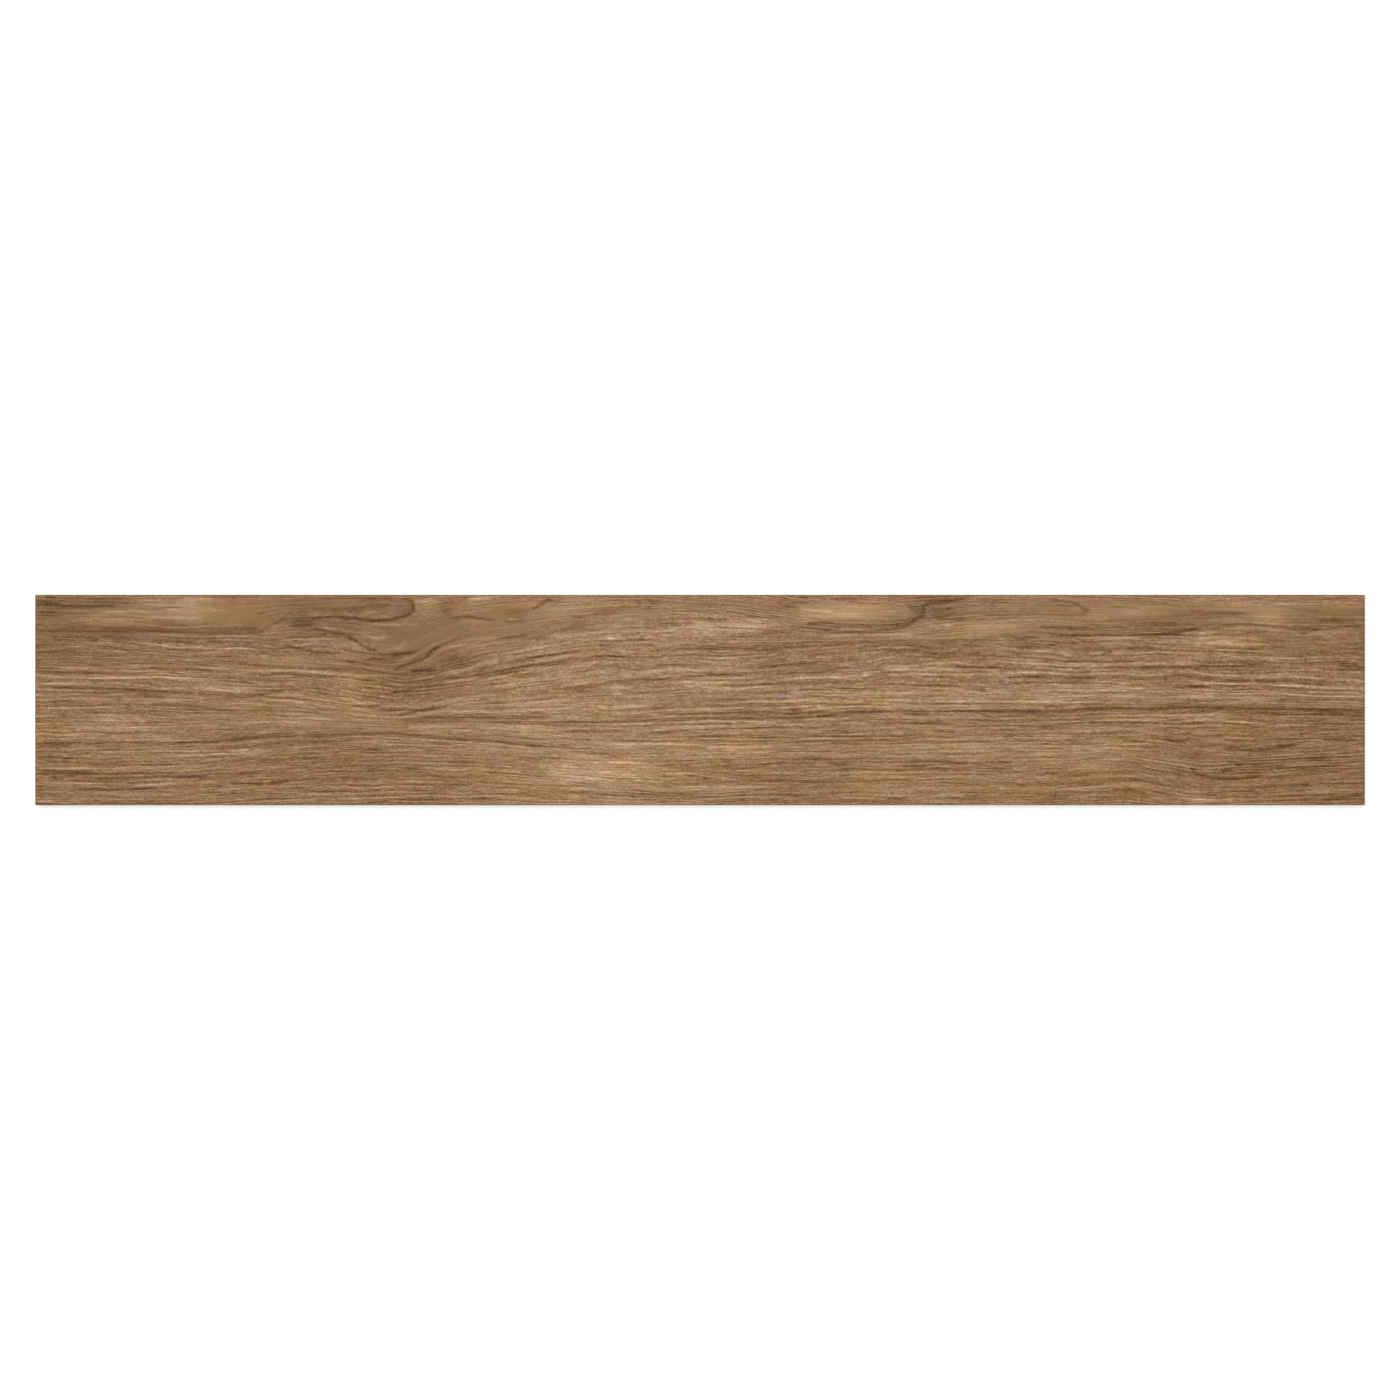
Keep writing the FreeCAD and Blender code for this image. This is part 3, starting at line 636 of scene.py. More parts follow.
# Stains of the print: a colour's share of red, green and blue, then each stain's middle and half sizes.
HONEY = (1.035, 1.015, 0.87)
RUST = (1.045, 0.982, 0.935)
PLUM = (0.975, 0.975, 1.12)
OLIVE = (0.955, 1.02, 0.92)
ASH = (0.92, 1.01, 1.12)
WARM = (1.03, 0.99, 0.93)
COOL = (0.965, 1.0, 1.07)
STAINS = (
    (WARM, (85, 700, 18, 8), (120, 771, 34, 10), (205, 655, 14, 6), (265, 603, 14, 5), (270, 776, 34, 12),
     (365, 690, 18, 14), (410, 730, 22, 10), (480, 780, 44, 16), (505, 690, 14, 8), (665, 765, 34, 10),
     (775, 760, 50, 10), (880, 771, 26, 10), (1080, 775, 40, 12), (1180, 745, 34, 12),
     (1250, 786, 34, 10)),
    (COOL, (55, 605, 32, 9), (115, 611, 16, 9), (185, 600, 22, 5), (290, 622, 20, 8), (360, 612, 32, 10),
     (425, 650, 22, 12), (515, 650, 14, 14), (705, 600, 32, 6), (780, 670, 42, 20), (930, 612, 32, 14),
     (975, 605, 22, 8), (1020, 670, 22, 10), (1165, 625, 22, 12), (1230, 700, 16, 10),
     (1340, 741, 22, 14), (1345, 670, 14, 16)),
    (HONEY, (38, 725, 3, 30), (60, 728, 24, 8), (85, 760, 12, 6), (110, 619, 45, 7), (195, 599, 20, 3),
     (195, 783, 22, 3), (212, 782, 14, 3), (235, 612, 34, 16), (266, 708, 6, 6), (280, 700, 20, 3),
     (282, 661, 20, 3), (310, 700, 12, 6), (310, 758, 10, 3), (322, 775, 9, 4), (330, 598, 50, 3),
     (365, 680, 16, 3), (400, 778, 10, 6), (442, 729, 10, 3), (448, 652, 9, 4), (455, 602, 10, 4),
     (468, 621, 11, 3), (468, 762, 14, 3), (488, 638, 9, 3), (510, 604, 30, 6), (516, 751, 6, 3),
     (540, 731, 7, 3), (549, 621, 7, 5), (560, 768, 18, 6), (572, 665, 10, 3), (590, 683, 14, 4),
     (605, 603, 26, 7), (606, 704, 16, 4), (614, 765, 16, 4), (615, 761, 22, 3), (619, 775, 24, 8),
     (650, 654, 12, 3), (670, 784, 24, 5), (684, 744, 14, 5), (722, 681, 8, 3), (724, 793, 8, 5),
     (728, 749, 8, 7), (750, 775, 16, 4), (788, 702, 14, 3), (835, 614, 34, 6), (840, 703, 30, 4),
     (845, 703, 36, 3), (850, 638, 24, 3), (858, 785, 14, 10), (878, 703, 16, 3), (890, 614, 18, 4),
     (940, 662, 18, 3), (948, 720, 9, 4), (948, 750, 12, 5), (965, 784, 16, 6), (985, 791, 16, 4),
     (1000, 628, 24, 4), (1040, 792, 18, 4), (1050, 755, 8, 6), (1085, 618, 30, 4), (1110, 718, 20, 3),
     (1112, 775, 14, 4), (1135, 789, 18, 8), (1140, 603, 40, 6), (1158, 613, 12, 3), (1172, 720, 10, 3),
     (1218, 641, 28, 5), (1225, 602, 34, 4), (1236, 719, 10, 3), (1248, 781, 9, 3), (1256, 638, 8, 3),
     (1260, 648, 8, 3), (1268, 616, 18, 6), (1278, 794, 12, 3), (1285, 681, 10, 2), (1290, 779, 14, 5),
     (1317, 641, 9, 3), (1335, 612, 10, 3), (1345, 601, 16, 3)),
    (RUST, (90, 627, 40, 3), (94, 752, 6, 4), (140, 628, 30, 3), (160, 670, 20, 4), (248, 671, 8, 3),
     (290, 612, 5, 3), (330, 701, 14, 3), (335, 608, 32, 3), (345, 752, 16, 6), (350, 708, 24, 6),
     (378, 714, 16, 7), (385, 783, 18, 7), (412, 755, 18, 8), (415, 648, 14, 7), (440, 775, 30, 6),
     (446, 617, 6, 4), (455, 801, 12, 2), (485, 775, 20, 6), (515, 638, 14, 3), (518, 611, 14, 3),
     (522, 676, 10, 5), (535, 599, 8, 3), (555, 733, 8, 3), (560, 785, 30, 8), (572, 796, 12, 5),
     (590, 653, 18, 4), (720, 773, 12, 3), (742, 782, 10, 3), (748, 731, 10, 3), (755, 604, 12, 5),
     (775, 758, 24, 6), (780, 599, 12, 3), (845, 644, 28, 2), (845, 787, 12, 6), (860, 748, 16, 9),
     (868, 780, 14, 6), (880, 602, 24, 4), (912, 599, 20, 3), (920, 733, 12, 3), (940, 599, 20, 3),
     (958, 768, 12, 4), (960, 674, 8, 3), (970, 655, 9, 3), (1004, 764, 9, 4), (1018, 791, 12, 8),
     (1030, 628, 12, 4), (1030, 783, 8, 3), (1058, 599, 10, 2), (1087, 598, 10, 2), (1102, 764, 7, 4),
     (1115, 655, 10, 4), (1150, 682, 18, 4), (1152, 736, 10, 4), (1155, 622, 28, 4), (1168, 738, 12, 5),
     (1190, 672, 20, 4), (1192, 730, 12, 6), (1196, 667, 10, 3), (1214, 799, 18, 3), (1238, 647, 12, 3),
     (1254, 773, 12, 3), (1255, 730, 30, 9), (1276, 642, 9, 4), (1280, 717, 24, 2), (1300, 797, 12, 3),
     (1308, 734, 7, 3), (1359, 801, 3, 2)),
    (ASH, (50, 606, 16, 9), (100, 605, 24, 6), (302, 621, 16, 7), (408, 606, 8, 6), (430, 668, 16, 3),
     (925, 609, 16, 8), (1285, 708, 20, 5)),
    (PLUM, (48, 616, 14, 4), (65, 656, 20, 8), (100, 603, 24, 3), (140, 634, 24, 4), (235, 640, 34, 5),
     (264, 636, 8, 5), (318, 643, 16, 5), (324, 784, 7, 3), (330, 628, 24, 8), (398, 606, 12, 6),
     (422, 671, 10, 3), (455, 658, 12, 5), (455, 785, 30, 4), (474, 632, 8, 3), (555, 631, 20, 3),
     (557, 602, 6, 5), (585, 674, 12, 10), (600, 664, 8, 3), (640, 750, 16, 4), (650, 793, 10, 4),
     (684, 797, 8, 4), (690, 628, 18, 3), (720, 653, 8, 4), (785, 695, 18, 3), (790, 697, 16, 6),
     (790, 765, 24, 6), (832, 628, 12, 3), (860, 631, 24, 3), (865, 666, 16, 10), (885, 627, 22, 3),
     (930, 612, 6, 7), (942, 713, 8, 3), (972, 720, 14, 6), (984, 602, 24, 4), (1005, 683, 14, 6),
     (1022, 710, 18, 3), (1034, 711, 10, 3), (1080, 606, 10, 5), (1105, 712, 20, 3), (1166, 633, 10, 3),
     (1170, 637, 8, 2), (1240, 754, 10, 3), (1254, 633, 12, 2), (1286, 687, 12, 2), (1293, 617, 5, 3),
     (1318, 633, 14, 3), (1335, 752, 10, 4), (1345, 628, 14, 3)),
    (OLIVE, (80, 636, 20, 3), (135, 755, 12, 8), (185, 638, 24, 4), (246, 679, 10, 3), (305, 628, 14, 4),
     (325, 614, 22, 3), (372, 682, 14, 7), (430, 665, 14, 4), (432, 602, 10, 5), (512, 618, 12, 4),
     (526, 638, 8, 7), (540, 793, 24, 7), (568, 625, 5, 5), (668, 608, 22, 5), (715, 606, 18, 6),
     (722, 764, 12, 5), (756, 614, 8, 3), (785, 743, 16, 4), (810, 666, 12, 3), (810, 755, 6, 8),
     (852, 653, 14, 4), (878, 696, 8, 4), (895, 750, 14, 6), (900, 777, 6, 4), (948, 613, 12, 6),
     (956, 634, 12, 4), (1014, 603, 12, 4), (1060, 627, 24, 3), (1128, 738, 10, 3), (1150, 703, 14, 3),
     (1168, 629, 16, 2), (1170, 604, 18, 5), (1244, 657, 12, 2), (1256, 667, 9, 5), (1258, 746, 20, 3),
     (1272, 713, 28, 3), (1322, 732, 10, 4), (1325, 610, 24, 6), (1326, 714, 10, 3)),
)

# Calm places, where the fibres hardly show: middle, half sizes, and how calm they are.
CALM_PLACES = (
    (150, 612, 120, 13, 0.7), (150, 631, 120, 5, 0.6), (240, 614, 40, 15, 0.75), (330, 604, 60, 8, 0.75),
    (330, 628, 60, 14, 0.4), (425, 640, 50, 26, 0.75), (500, 620, 70, 24, 0.7), (600, 615, 60, 14, 0.4),
    (860, 612, 60, 10, 0.6), (990, 628, 60, 10, 0.6), (1120, 615, 100, 14, 0.6), (1212, 740, 16, 5, 0.6),
    (1280, 615, 100, 14, 0.55), (1300, 640, 60, 10, 0.45),
)


def linear(levels):
    """A colour given in 8-bit levels, as linear light."""
    shares = [max(0.0, min(1.0, level / 255)) for level in levels]
    return [s / 12.92 if s <= 0.04045 else ((s + 0.055) / 1.055) ** 2.4 for s in shares]


class Value:
    """A node's output socket. Sums and products with it add Math nodes to its sheet."""

    def __init__(self, sheet, socket):
        self.sheet = sheet
        self.socket = socket

    def output(self, name):
        """Another output of the same node."""
        return Value(self.sheet, self.socket.node.outputs[name])

    def math(self, operation, *values):
        return self.sheet.node("ShaderNodeMath", {"operation": operation}, dict(enumerate(values)))

    def __add__(self, other):
        return self.math("ADD", self, other)

    def __radd__(self, other):
        return self.math("ADD", other, self)

    def __sub__(self, other):
        return self.math("SUBTRACT", self, other)

    def __rsub__(self, other):
        return self.math("SUBTRACT", other, self)

    def __mul__(self, other):
        return self.math("MULTIPLY", self, other)

    def __rmul__(self, other):
        return self.math("MULTIPLY", other, self)

    def __truediv__(self, other):
        return self.math("DIVIDE", self, other)

    def clamped(self):
        """The value, kept between zero and one."""
        return self.math("MINIMUM", self.math("MAXIMUM", self, 0.0), 1.0)


class Sheet:
    """A node tree, of a material, a world or a relief, that is filled node by node."""

    def __init__(self, tree):
        self.tree = tree
        tree.nodes.clear()

    def node(self, kind, settings=None, inputs=None, output=0):
        """Adds a node, sets its settings, then its sockets' values or links, and returns an output."""
        made = self.tree.nodes.new(kind)
        for name, setting in (settings or {}).items():
            if name == "stops":
                self.set_stops(made.color_ramp, setting)
            else:
                setattr(made, name, setting)
        for key, value in (inputs or {}).items():
            if isinstance(value, Value):
                self.tree.links.new(value.socket, made.inputs[key])
            else:
                made.inputs[key].default_value = value
        return Value(self, made.outputs[output]) if len(made.outputs) else made

    def set_stops(self, ramp, stops):
        """Gives a colour ramp its stops, each a place and a linear colour."""
        while len(ramp.elements) < len(stops):
            ramp.elements.new(1.0)
        for element, (place, colour) in zip(ramp.elements, stops):
            element.position = place
            element.color = (*colour, 1.0)

    def ramp(self, colours, place):
        """A ramp through evenly spaced colours, which are given in levels."""
        stops = [(k / (len(colours) - 1), linear(levels)) for k, levels in enumerate(colours)]
        return self.node("ShaderNodeValToRGB", {"stops": stops}, {"Fac": place})

    def noise(self, coordinates, detail=0.0, dimensions="2D"):
        """Noise about zero, with a spread of about one."""
        found = self.node(
            "ShaderNodeTexNoise",
            {"noise_dimensions": dimensions},
            {"Vector": coordinates, "Scale": 1.0, "Detail": detail},
        )
        return (found - NOISE_MEAN) / NOISE_SPREAD

    def speckle(self, place, grains, detail):
        """Noise all through the body, with so many grains to the metre along each axis."""
        return self.noise(self.vector(*[p * g for p, g in zip(place, grains)]), detail, "3D")

    def vector(self, x, y, z=0.0):
        return self.node("ShaderNodeCombineXYZ", {}, {"X": x, "Y": y, "Z": z})

    def split(self, vector):
        """The three numbers of a vector."""
        x = self.node("ShaderNodeSeparateXYZ", {}, {"Vector": vector})
        return x, x.output("Y"), x.output("Z")

    def place(self):
        """The three numbers of a point's place on the tile, in metres."""
        return self.split(self.node("ShaderNodeTexCoord", {}, {}, "Object"))

    def times(self, colour, shares):
        """A colour with its red, green and blue each taken so many times."""
        return self.node("ShaderNodeVectorMath", {"operation": "MULTIPLY"}, {0: colour, 1: shares})


def line_row(points, column):
    """The row at which a smooth line through the points crosses a column."""
    last = len(points) - 1
    k = 0
    while k < last - 1 and column > points[k + 1][0]:
        k += 1
    (x0, y0), (x1, y1) = points[k], points[k + 1]
    before = points[max(k - 1, 0)]
    after = points[min(k + 2, last)]
    step = x1 - x0
    slope0 = (y1 - before[1]) / (x1 - before[0]) * step
    slope1 = (after[1] - y0) / (after[0] - x0) * step
    t = (column - x0) / step
    rest = 1 - t
    return (
        y0 * (1 + 2 * t) * rest * rest
        + slope0 * t * rest * rest
        + y1 * t * t * (3 - 2 * t)
        - slope1 * t * t * rest
    )


def straightened_row(lines, row):
    """The row that a point would have if the grain ran straight, from the lines above and below it."""
    for (row_a, line_a), (row_b, line_b) in zip(lines, lines[1:]):
        if row < line_b or row_b == lines[-1][0]:
            return row_a + (row - line_a) / (line_b - line_a) * (row_b - row_a)


def stroke_share(points, half_width, column, row):
    """How strongly a stroke shows at a point: a soft line that tapers off at both ends."""
    spot = Vector((column, row, 0))
    nearest = math.inf
    place = 0.0
    for k in range(len(points) - 1):
        start = Vector((*points[k], 0))
        end = Vector((*points[k + 1], 0))
        share = max(0.0, min(1.0, intersect_point_line(spot, start, end)[1]))
        away = (start.lerp(end, share) - spot).length
        if away < nearest:
            nearest = away
            place = (k + share) / (len(points) - 1)
    taper = min(1.0, TIP_RISE * place + TIP_TONE, TIP_RISE * (1 - place) + TIP_TONE)
    away = nearest / half_width
    flank = FLANK_TONE * math.exp(-((away / FLANK_WIDTH) ** 2))
    return taper * (math.exp(-away * away) - flank)


def wear_spots(bm):
    """The vertices of the wear face, by the column that they lie in, each with its row."""
    columns = {}
    for vert in {vert for face in bm.faces if face.material_index == FACE for vert in face.verts}:
        column = round(PHOTO_CENTRE + vert.co.x / pixel, 2)
        columns.setdefault(column, []).append((vert, PHOTO_CENTRE - vert.co.y / pixel))
    return columns


def spots_near(columns, points, reach):
    """The spots in a box about some points, which reaches past them by so many pixels each way."""
    left = min(p[0] for p in points) - reach[0]
    right = max(p[0] for p in points) + reach[0]
    top = min(p[1] for p in points) - reach[1]
    bottom = max(p[1] for p in points) + reach[1]
    for column, spots in columns.items():
        if left < column < right:
            for vert, row in spots:
                if top < row < bottom:
                    yield vert, column, row


def patch_shares(columns, patch):
    """The spots that a soft patch reaches, each with how strongly the patch shows there."""
    middle_column, middle_row, half_length, half_width = patch
    reach = (PATCH_REACH * half_length, PATCH_REACH * half_width)
    for vert, column, row in spots_near(columns, [(middle_column, middle_row)], reach):
        along = (column - middle_column) / half_length
        across = (row - middle_row) / half_width
        yield vert, math.exp(-(along * along + across * across))


def draw_print(bm):
    """Draws the grain's run, tone (with the painted shade of the lower edge's strokes), stains and calm
    places on the wear face, as values on its vertices.
    """
    run = bm.verts.layers.float.new("grain_run")
    tone = bm.verts.layers.float.new("grain_tone")
    stain = bm.verts.layers.float_vector.new("grain_stain")
    calm = bm.verts.layers.float.new("grain_calm")
    columns = wear_spots(bm)
    for column, spots in columns.items():
        lines = [(straight, line_row(points, column)) for straight, points in GRAIN_LINES]
        for vert, row in spots:
            vert[run] = straightened_row(lines, row)
            vert[tone] = line_row(TONE_ALONG, column) + line_row(TONE_ACROSS, vert[run])
            vert[stain] = (1.0, 1.0, 1.0)
    for (levels, half_width), *strokes in STROKES:
        for stroke in strokes:
            points = list(zip(stroke[::2], stroke[1::2]))
            for vert, column, row in spots_near(columns, points, [STROKE_REACH * half_width] * 2):
                vert[tone] += levels * stroke_share(points, half_width, column, row)
    for levels, *patch in PATCHES:
        for vert, share in patch_shares(columns, patch):
            vert[tone] += levels * share
    for colour, *stains in STAINS:
        for patch in stains:
            for vert, share in patch_shares(columns, patch):
                vert[stain] = [s * (1 + share * (c - 1)) for s, c in zip(vert[stain], colour)]
    for *patch, strength in CALM_PLACES:
        for vert, share in patch_shares(columns, patch):
            vert[calm] += (1 - vert[calm]) * strength * share


def fibre_tone(sheet, along, run, fibres):
    """The tone of some layers of fibres, in levels, at a place along and across the grain."""
    wander_along, wander_across = WANDER_WAVES
    shift_along, shift_across = LAYER_SHIFT
    wander = sheet.noise(sheet.vector(along / wander_along, run / wander_across), detail=1.0)
    run = run + WANDER * wander
    tone = 0.0
    for layer, (along_wave, across_wave, levels) in enumerate(fibres):
        place = sheet.vector(
            along / (along_wave * NOISE_LATTICE) + shift_along * layer,
            run / (across_wave * NOISE_LATTICE) + shift_across * layer,
        )
        tone = sheet.noise(place) * levels + tone
    return tone


def hue_drift(sheet, along, run):
    """The slow drifts of the print's hue, as shares of its red, green and blue."""
    shares = [1.0, 1.0, 1.0]
    for layer, (along_wave, across_wave, swings) in enumerate(HUE_DRIFTS):
        place = sheet.vector(along / along_wave + DRIFT_SHIFT * layer, run / across_wave)
        drift = sheet.noise(place, detail=2.0)
        shares = [share + swing * drift for share, swing in zip(shares, swings)]
    return sheet.vector(*shares)


def pressed_relief():
    """A modifier's node group that presses the dark lines of the print into the wear face."""
    group = bpy.data.node_groups.new("pressed_relief", "GeometryNodeTree")
    group.interface.new_socket("Geometry", in_out="INPUT", socket_type="NodeSocketGeometry")
    group.interface.new_socket("Geometry", in_out="OUTPUT", socket_type="NodeSocketGeometry")
    sheet = Sheet(group)
    tile = sheet.node("NodeGroupInput")
    x, y, z = sheet.split(sheet.node("GeometryNodeInputPosition"))
    run, drawn, calm = [
        sheet.node("GeometryNodeInputNamedAttribute", {"data_type": "FLOAT"}, {"Name": name})
        for name in ("grain_run", "grain_tone", "grain_calm")
    ]
    tone = drawn + (1 - calm) * fibre_tone(sheet, x / pixel + PHOTO_CENTRE, run, FIBRES)
    depth = (RELIEF_MEAN - tone / RELIEF_TONE).clamped() * RELIEF_DEPTH
    from_ends = (length / 2 - x.math("ABSOLUTE", x)) / RELIEF_RIM
    from_sides = (width / 2 - y.math("ABSOLUTE", y)) / RELIEF_RIM
    inside = x.math("MINIMUM", from_ends - RELIEF_MARGIN, from_sides - RELIEF_MARGIN).clamped()
    on_face = z.math("GREATER_THAN", z, high.z - FACE_DEPTH)
    offset = sheet.vector(0.0, 0.0, (0.0 - depth) * inside * on_face)
    moved = sheet.node("GeometryNodeSetPosition", {}, {"Geometry": tile, "Offset": offset})
    sheet.node("NodeGroupOutput", {}, {"Geometry": moved})
    return group


def material(name):
    """A new material, and its empty sheet."""
    made = bpy.data.materials.new(name)
    made.use_nodes = True
    return made, Sheet(made.node_tree)


def finish_surface(sheet, colour, grain, roughness, gloss, bump):
    """Closes a material with its surface, whose grain swings the roughness and stands out as a bump."""
    mean, swing = roughness
    height = {"Strength": bump, "Distance": BUMP_HEIGHT, "Height": grain}
    looks = {
        "Base Color": colour,
        "Roughness": mean + swing * grain,
        "Specular IOR Level": gloss,
        "Normal": sheet.node("ShaderNodeBump", {}, height),
    }
    surface = sheet.node("ShaderNodeBsdfPrincipled", {}, looks)
    sheet.node("ShaderNodeOutputMaterial", {}, {"Surface": surface})


def wood_print():
    """The wear face: a wood print under a matt glaze."""
    made, sheet = material("wood_print_matt_glaze")
    x, y, z = sheet.place()
    along = x / pixel + PHOTO_CENTRE
    run, drawn, calm = [
        sheet.node("ShaderNodeAttribute", {"attribute_name": name}, {}, "Fac")
        for name in ("grain_run", "grain_tone", "grain_calm")
    ]
    stain = sheet.node("ShaderNodeAttribute", {"attribute_name": "grain_stain"}, {}, "Vector")
    tone = drawn + (1 - calm) * fibre_tone(sheet, along, run, FIBRES + FINE_FIBRES)
    colours = []
    for k in range(RAMP_STEPS + 1):
        levels = (2 * k / RAMP_STEPS - 1) * TONE_RANGE
        colours.append([mean + swing * levels for mean, swing in zip(PRINT_MEAN, PRINT_SWING)])
    colour = sheet.ramp(colours, tone / (2 * TONE_RANGE) + 0.5)
    colour = sheet.times(sheet.times(colour, stain), hue_drift(sheet, along, run))
    grit = sheet.noise(sheet.vector(x * GLAZE_GRIT, y * GLAZE_GRIT), detail=1.0)
    finish_surface(sheet, colour, grit, GLAZE_ROUGHNESS, GLAZE_GLOSS, GLAZE_BUMP)
    return made


def ground_body():
    """The ground edges and bevels: bare porcelain with fine grinding lines and specks."""
    made, sheet = material("ground_porcelain_body")
    place = sheet.place()
    lines = sheet.speckle(place, GRINDING_LINES, detail=2.0)
    specks = sheet.speckle(place, BODY_SPECKS, detail=1.0)
    colour = sheet.ramp(BODY_COLOURS, BODY_MEAN + GRINDING_SWING * lines + SPECK_SWING * specks)
    finish_surface(sheet, colour, lines, BODY_ROUGHNESS, BODY_GLOSS, BODY_BUMP)
    return made


def fired_back():
    """The keyed back: fired body with a dusting of pale kiln wash on its lands."""
    made, sheet = material("fired_keyed_back")
    place = sheet.place()
    blotches = sheet.speckle(place, BACK_BLOTCHES, detail=4.0)
    grit = sheet.speckle(place, BACK_GRIT, detail=1.0)
    on_land = (1.0 - (place[2] - low.z) / WASH_REACH).clamped()
    wash = (on_land * (WASH_MEAN + BLOTCH_SWING * blotches + GRIT_SWING * grit)).clamped()
    finish_surface(sheet, sheet.ramp(BACK_COLOURS, wash), grit, BACK_ROUGHNESS, BACK_GLOSS, BACK_BUMP)
    return made


def sort_faces(bm):
    """Gives each face its finish by where it lies, and returns the flat wear face's own faces."""
    wear = []
    for face in bm.faces:
        middle = face.calc_center_median()
        at_rim = abs(middle.x) > length / 2 - EDGE_REACH or abs(middle.y) > width / 2 - EDGE_REACH
        if face.normal.z > FACE_NORMAL:
            face.material_index = FACE
            wear.append(face)
        else:
            face.material_index = EDGE if at_rim else BACK
    return wear


def runs_across(edge):
    """Whether an edge runs straight across the plank."""
    return abs(edge.verts[0].co.x - edge.verts[1].co.x) < SAME_PLACE


def cut_wear_face(bm, wear):
    """Makes the wear face one quad, then cuts it into the relief grid."""
    face = bmesh.ops.dissolve_faces(bm, faces=wear)["region"][0]
    sides = [edge for edge in face.edges if not runs_across(edge)]
    bmesh.ops.subdivide_edges(bm, edges=sides, cuts=GRID_COLUMNS - 1, use_grid_fill=True)
    cross = [
        edge
        for edge in bm.edges
        if runs_across(edge)
        and abs(edge.verts[0].co.y - edge.verts[1].co.y) > width / 2
        and min(vert.co.z for vert in edge.verts) > high.z - SAME_PLACE
    ]
    bmesh.ops.subdivide_edges(bm, edges=cross, cuts=GRID_ROWS - 1, use_grid_fill=True)


def lay_out(bm):
    """Lays the piece out for baking: the wear face on most of the sheet, back and edges below it."""
    layer = bm.loops.layers.uv.new("OFBake")
    for face in bm.faces:
        normal = face.normal
        for loop in face.loops:
            along = (loop.vert.co.x - low.x) / length
            across = (loop.vert.co.y - low.y) / width
            up = (loop.vert.co.z - low.z) / thickness
            if face.material_index == FACE:
                run, rise, strip = along, across, FACE_STRIP
            elif face.material_index == BACK:
                run, rise, strip = along, across, BACK_STRIP
            elif abs(normal.y) > abs(normal.x):
                run, rise, strip = along, up, FRONT_STRIP if normal.y < 0 else REAR_STRIP
            else:
                run, rise, strip = across, up, LEFT_STRIP if normal.x < 0 else RIGHT_STRIP
            foot, height = strip
            loop[layer].uv = (SHEET_MARGIN + (1 - 2 * SHEET_MARGIN) * run, foot + height * rise)


def mesh_from(bm, name):
    """A mesh of a finished shape."""
    mesh = bpy.data.meshes.new(name)
    bm.to_mesh(mesh)
    bm.free()
    return mesh


def put_in_scene(name, data):
    """A new object in the scene, at the origin."""
    made = bpy.data.objects.new(name, data)
    bpy.context.scene.collection.objects.link(made)
    return made


def plank():
    """The whole tile: the slab as built, with its wear face cut fine for the pressed grain."""
    bm = bmesh.new()
    bm.from_mesh(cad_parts["plank_tile"].data)
    bmesh.ops.remove_doubles(bm, verts=bm.verts, dist=SAME_PLACE)
    bm.normal_update()
    cut_wear_face(bm, sort_faces(bm))
    bm.normal_update()
    sort_faces(bm)
    draw_print(bm)
    lay_out(bm)
    made = put_in_scene("wood_look_plank", mesh_from(bm, "wood_look_plank"))
    press = made.modifiers.new("pressed_relief", "NODES")
    press.node_group = pressed_relief()
    now = bpy.context.evaluated_depsgraph_get()
    pressed = made.evaluated_get(now)
    made.data = bpy.data.meshes.new_from_object(pressed, preserve_all_data_layers=True, depsgraph=now)
    made.modifiers.clear()
    for finish in (wood_print(), ground_body(), fired_back()):
        made.data.materials.append(finish)
    made.data.shade_smooth()
    made.data.set_sharp_from_angle(angle=SHARP_ANGLE)
    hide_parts("plank_tile")
    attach(made, "root")


def seen_directly(sheet):
    """One for rays from the camera, and for those that a gloss or glass passes on."""
    seen = sheet.node("ShaderNodeLightPath", {}, {}, "Is Camera Ray")
    passed_on = seen.math("MAXIMUM", seen.output("Is Glossy Ray"), seen.output("Is Transmission Ray"))
    return seen.math("MAXIMUM", seen, passed_on)


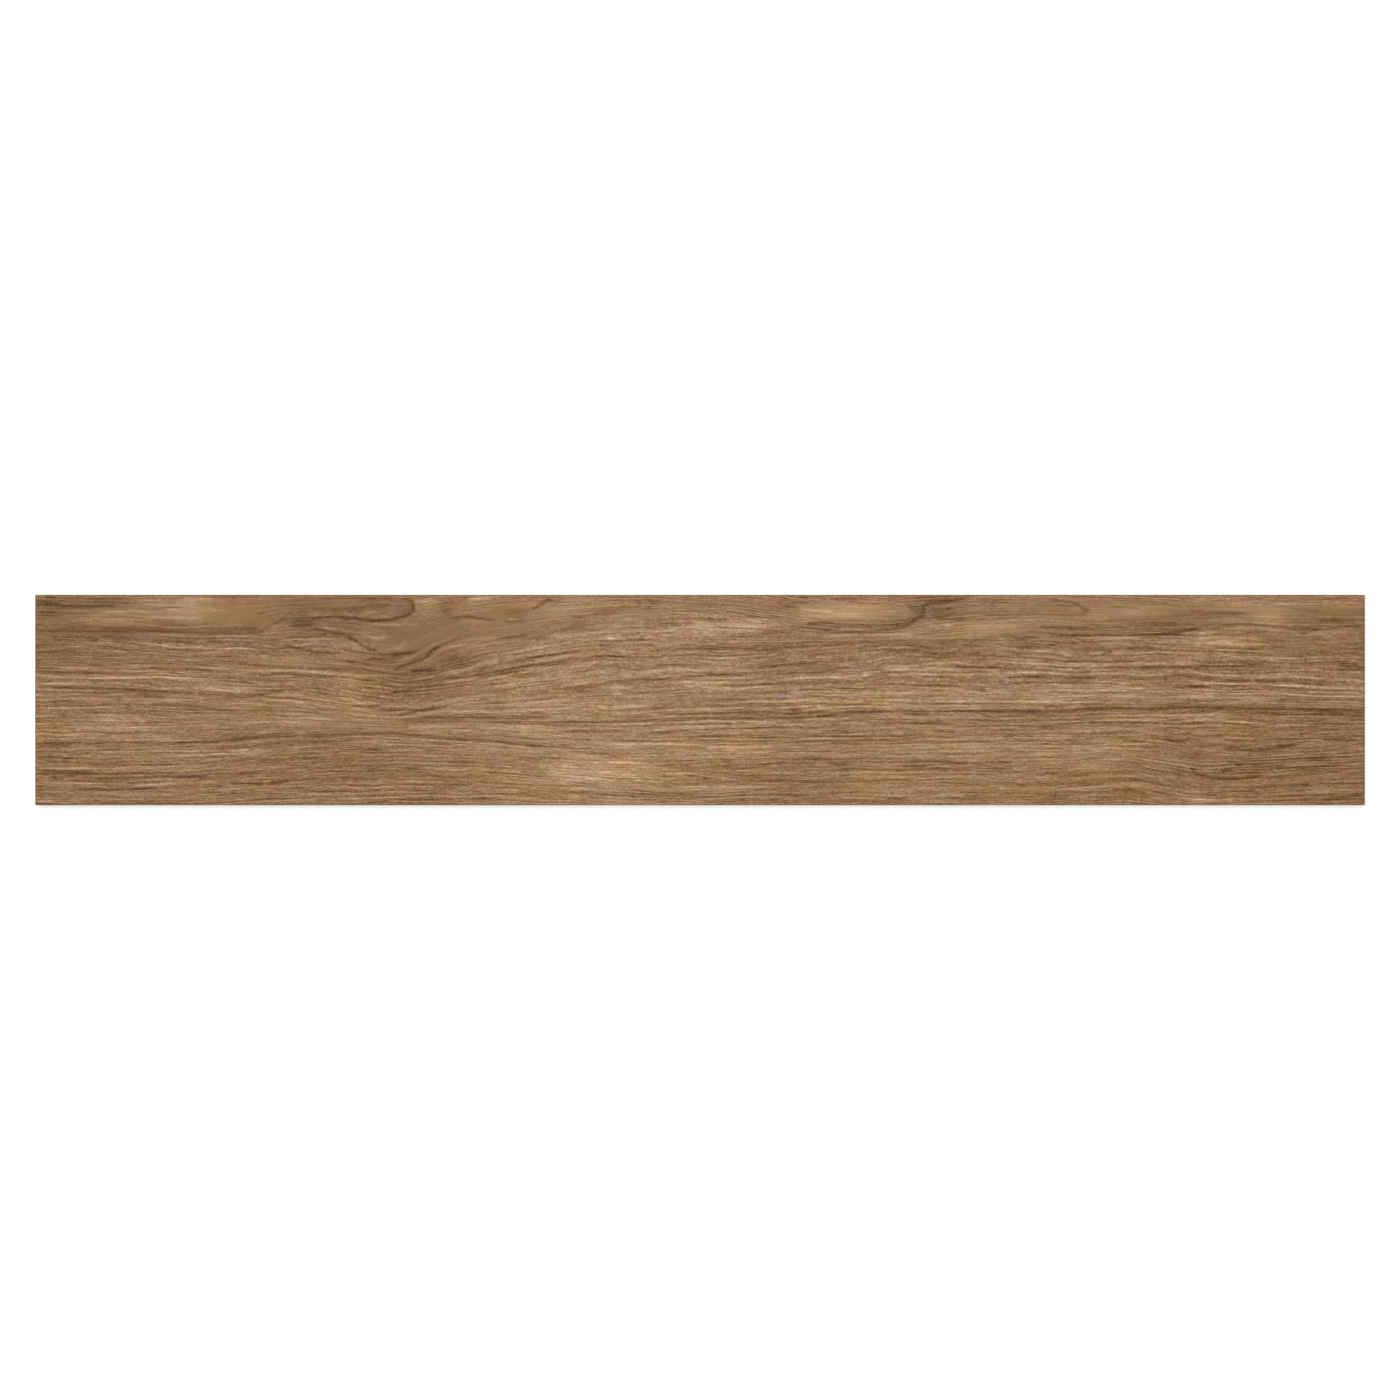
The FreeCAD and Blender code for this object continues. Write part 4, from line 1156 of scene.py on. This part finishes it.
def pale_floor():
    """A white floor that keeps the tile's shadow."""
    bm = bmesh.new()
    bmesh.ops.create_grid(bm, x_segments=1, y_segments=1, size=FLOOR_HALF)
    bmesh.ops.translate(bm, verts=bm.verts, vec=(0.0, 0.0, low.z - FLOOR_GAP))
    floor = put_in_scene("pale_floor", mesh_from(bm, "pale_floor"))
    made, sheet = material("pale_floor")
    paint = sheet.node("ShaderNodeBsdfDiffuse", {}, {"Color": FLOOR_PAINT})
    looks = {
        "Base Color": FLOOR_PAINT,
        "Roughness": 1.0,
        "Specular IOR Level": 0.0,
        "Emission Color": WHITE,
        "Emission Strength": FLOOR_GLOW,
    }
    lit = sheet.node("ShaderNodeBsdfPrincipled", {}, looks)
    both = sheet.node("ShaderNodeMixShader", {}, {0: seen_directly(sheet), 1: paint, 2: lit})
    sheet.node("ShaderNodeOutputMaterial", {}, {"Surface": both})
    floor.data.materials.append(made)


def soft_light():
    """Even light from the whole sky, with a broad soft lamp high above the left long edge."""
    world = bpy.data.worlds.new("white_studio")
    world.use_nodes = True
    bpy.context.scene.world = world
    sheet = Sheet(world.node_tree)
    sky = sheet.node("ShaderNodeBackground", {}, {"Color": WHITE, "Strength": SKY_LIGHT})
    backdrop = sheet.node("ShaderNodeBackground", {}, {"Color": WHITE, "Strength": BACKDROP_LIGHT})
    both = sheet.node("ShaderNodeMixShader", {}, {0: seen_directly(sheet), 1: sky, 2: backdrop})
    sheet.node("ShaderNodeOutputWorld", {}, {"Surface": both})
    lamp = bpy.data.lights.new("high_lamp", "SUN")
    lamp.energy = LAMP_LIGHT
    lamp.angle = LAMP_SPREAD
    put_in_scene("high_lamp", lamp).rotation_euler = LAMP_TILT


def camera():
    """Straight above the middle of the face, framed as the photograph is."""
    view = bpy.data.cameras.new("camera")
    view.lens = CAMERA_LENS
    frame_width = length * PHOTO_SIZE / PHOTO_LENGTH
    distance = frame_width * view.lens / view.sensor_width
    made = put_in_scene("camera", view)
    made.location = (0.0, 0.0, high.z + distance)
    bpy.context.scene.camera = made


plank()
pale_floor()
soft_light()
camera()
bpy.context.scene.view_settings.view_transform = "Standard"
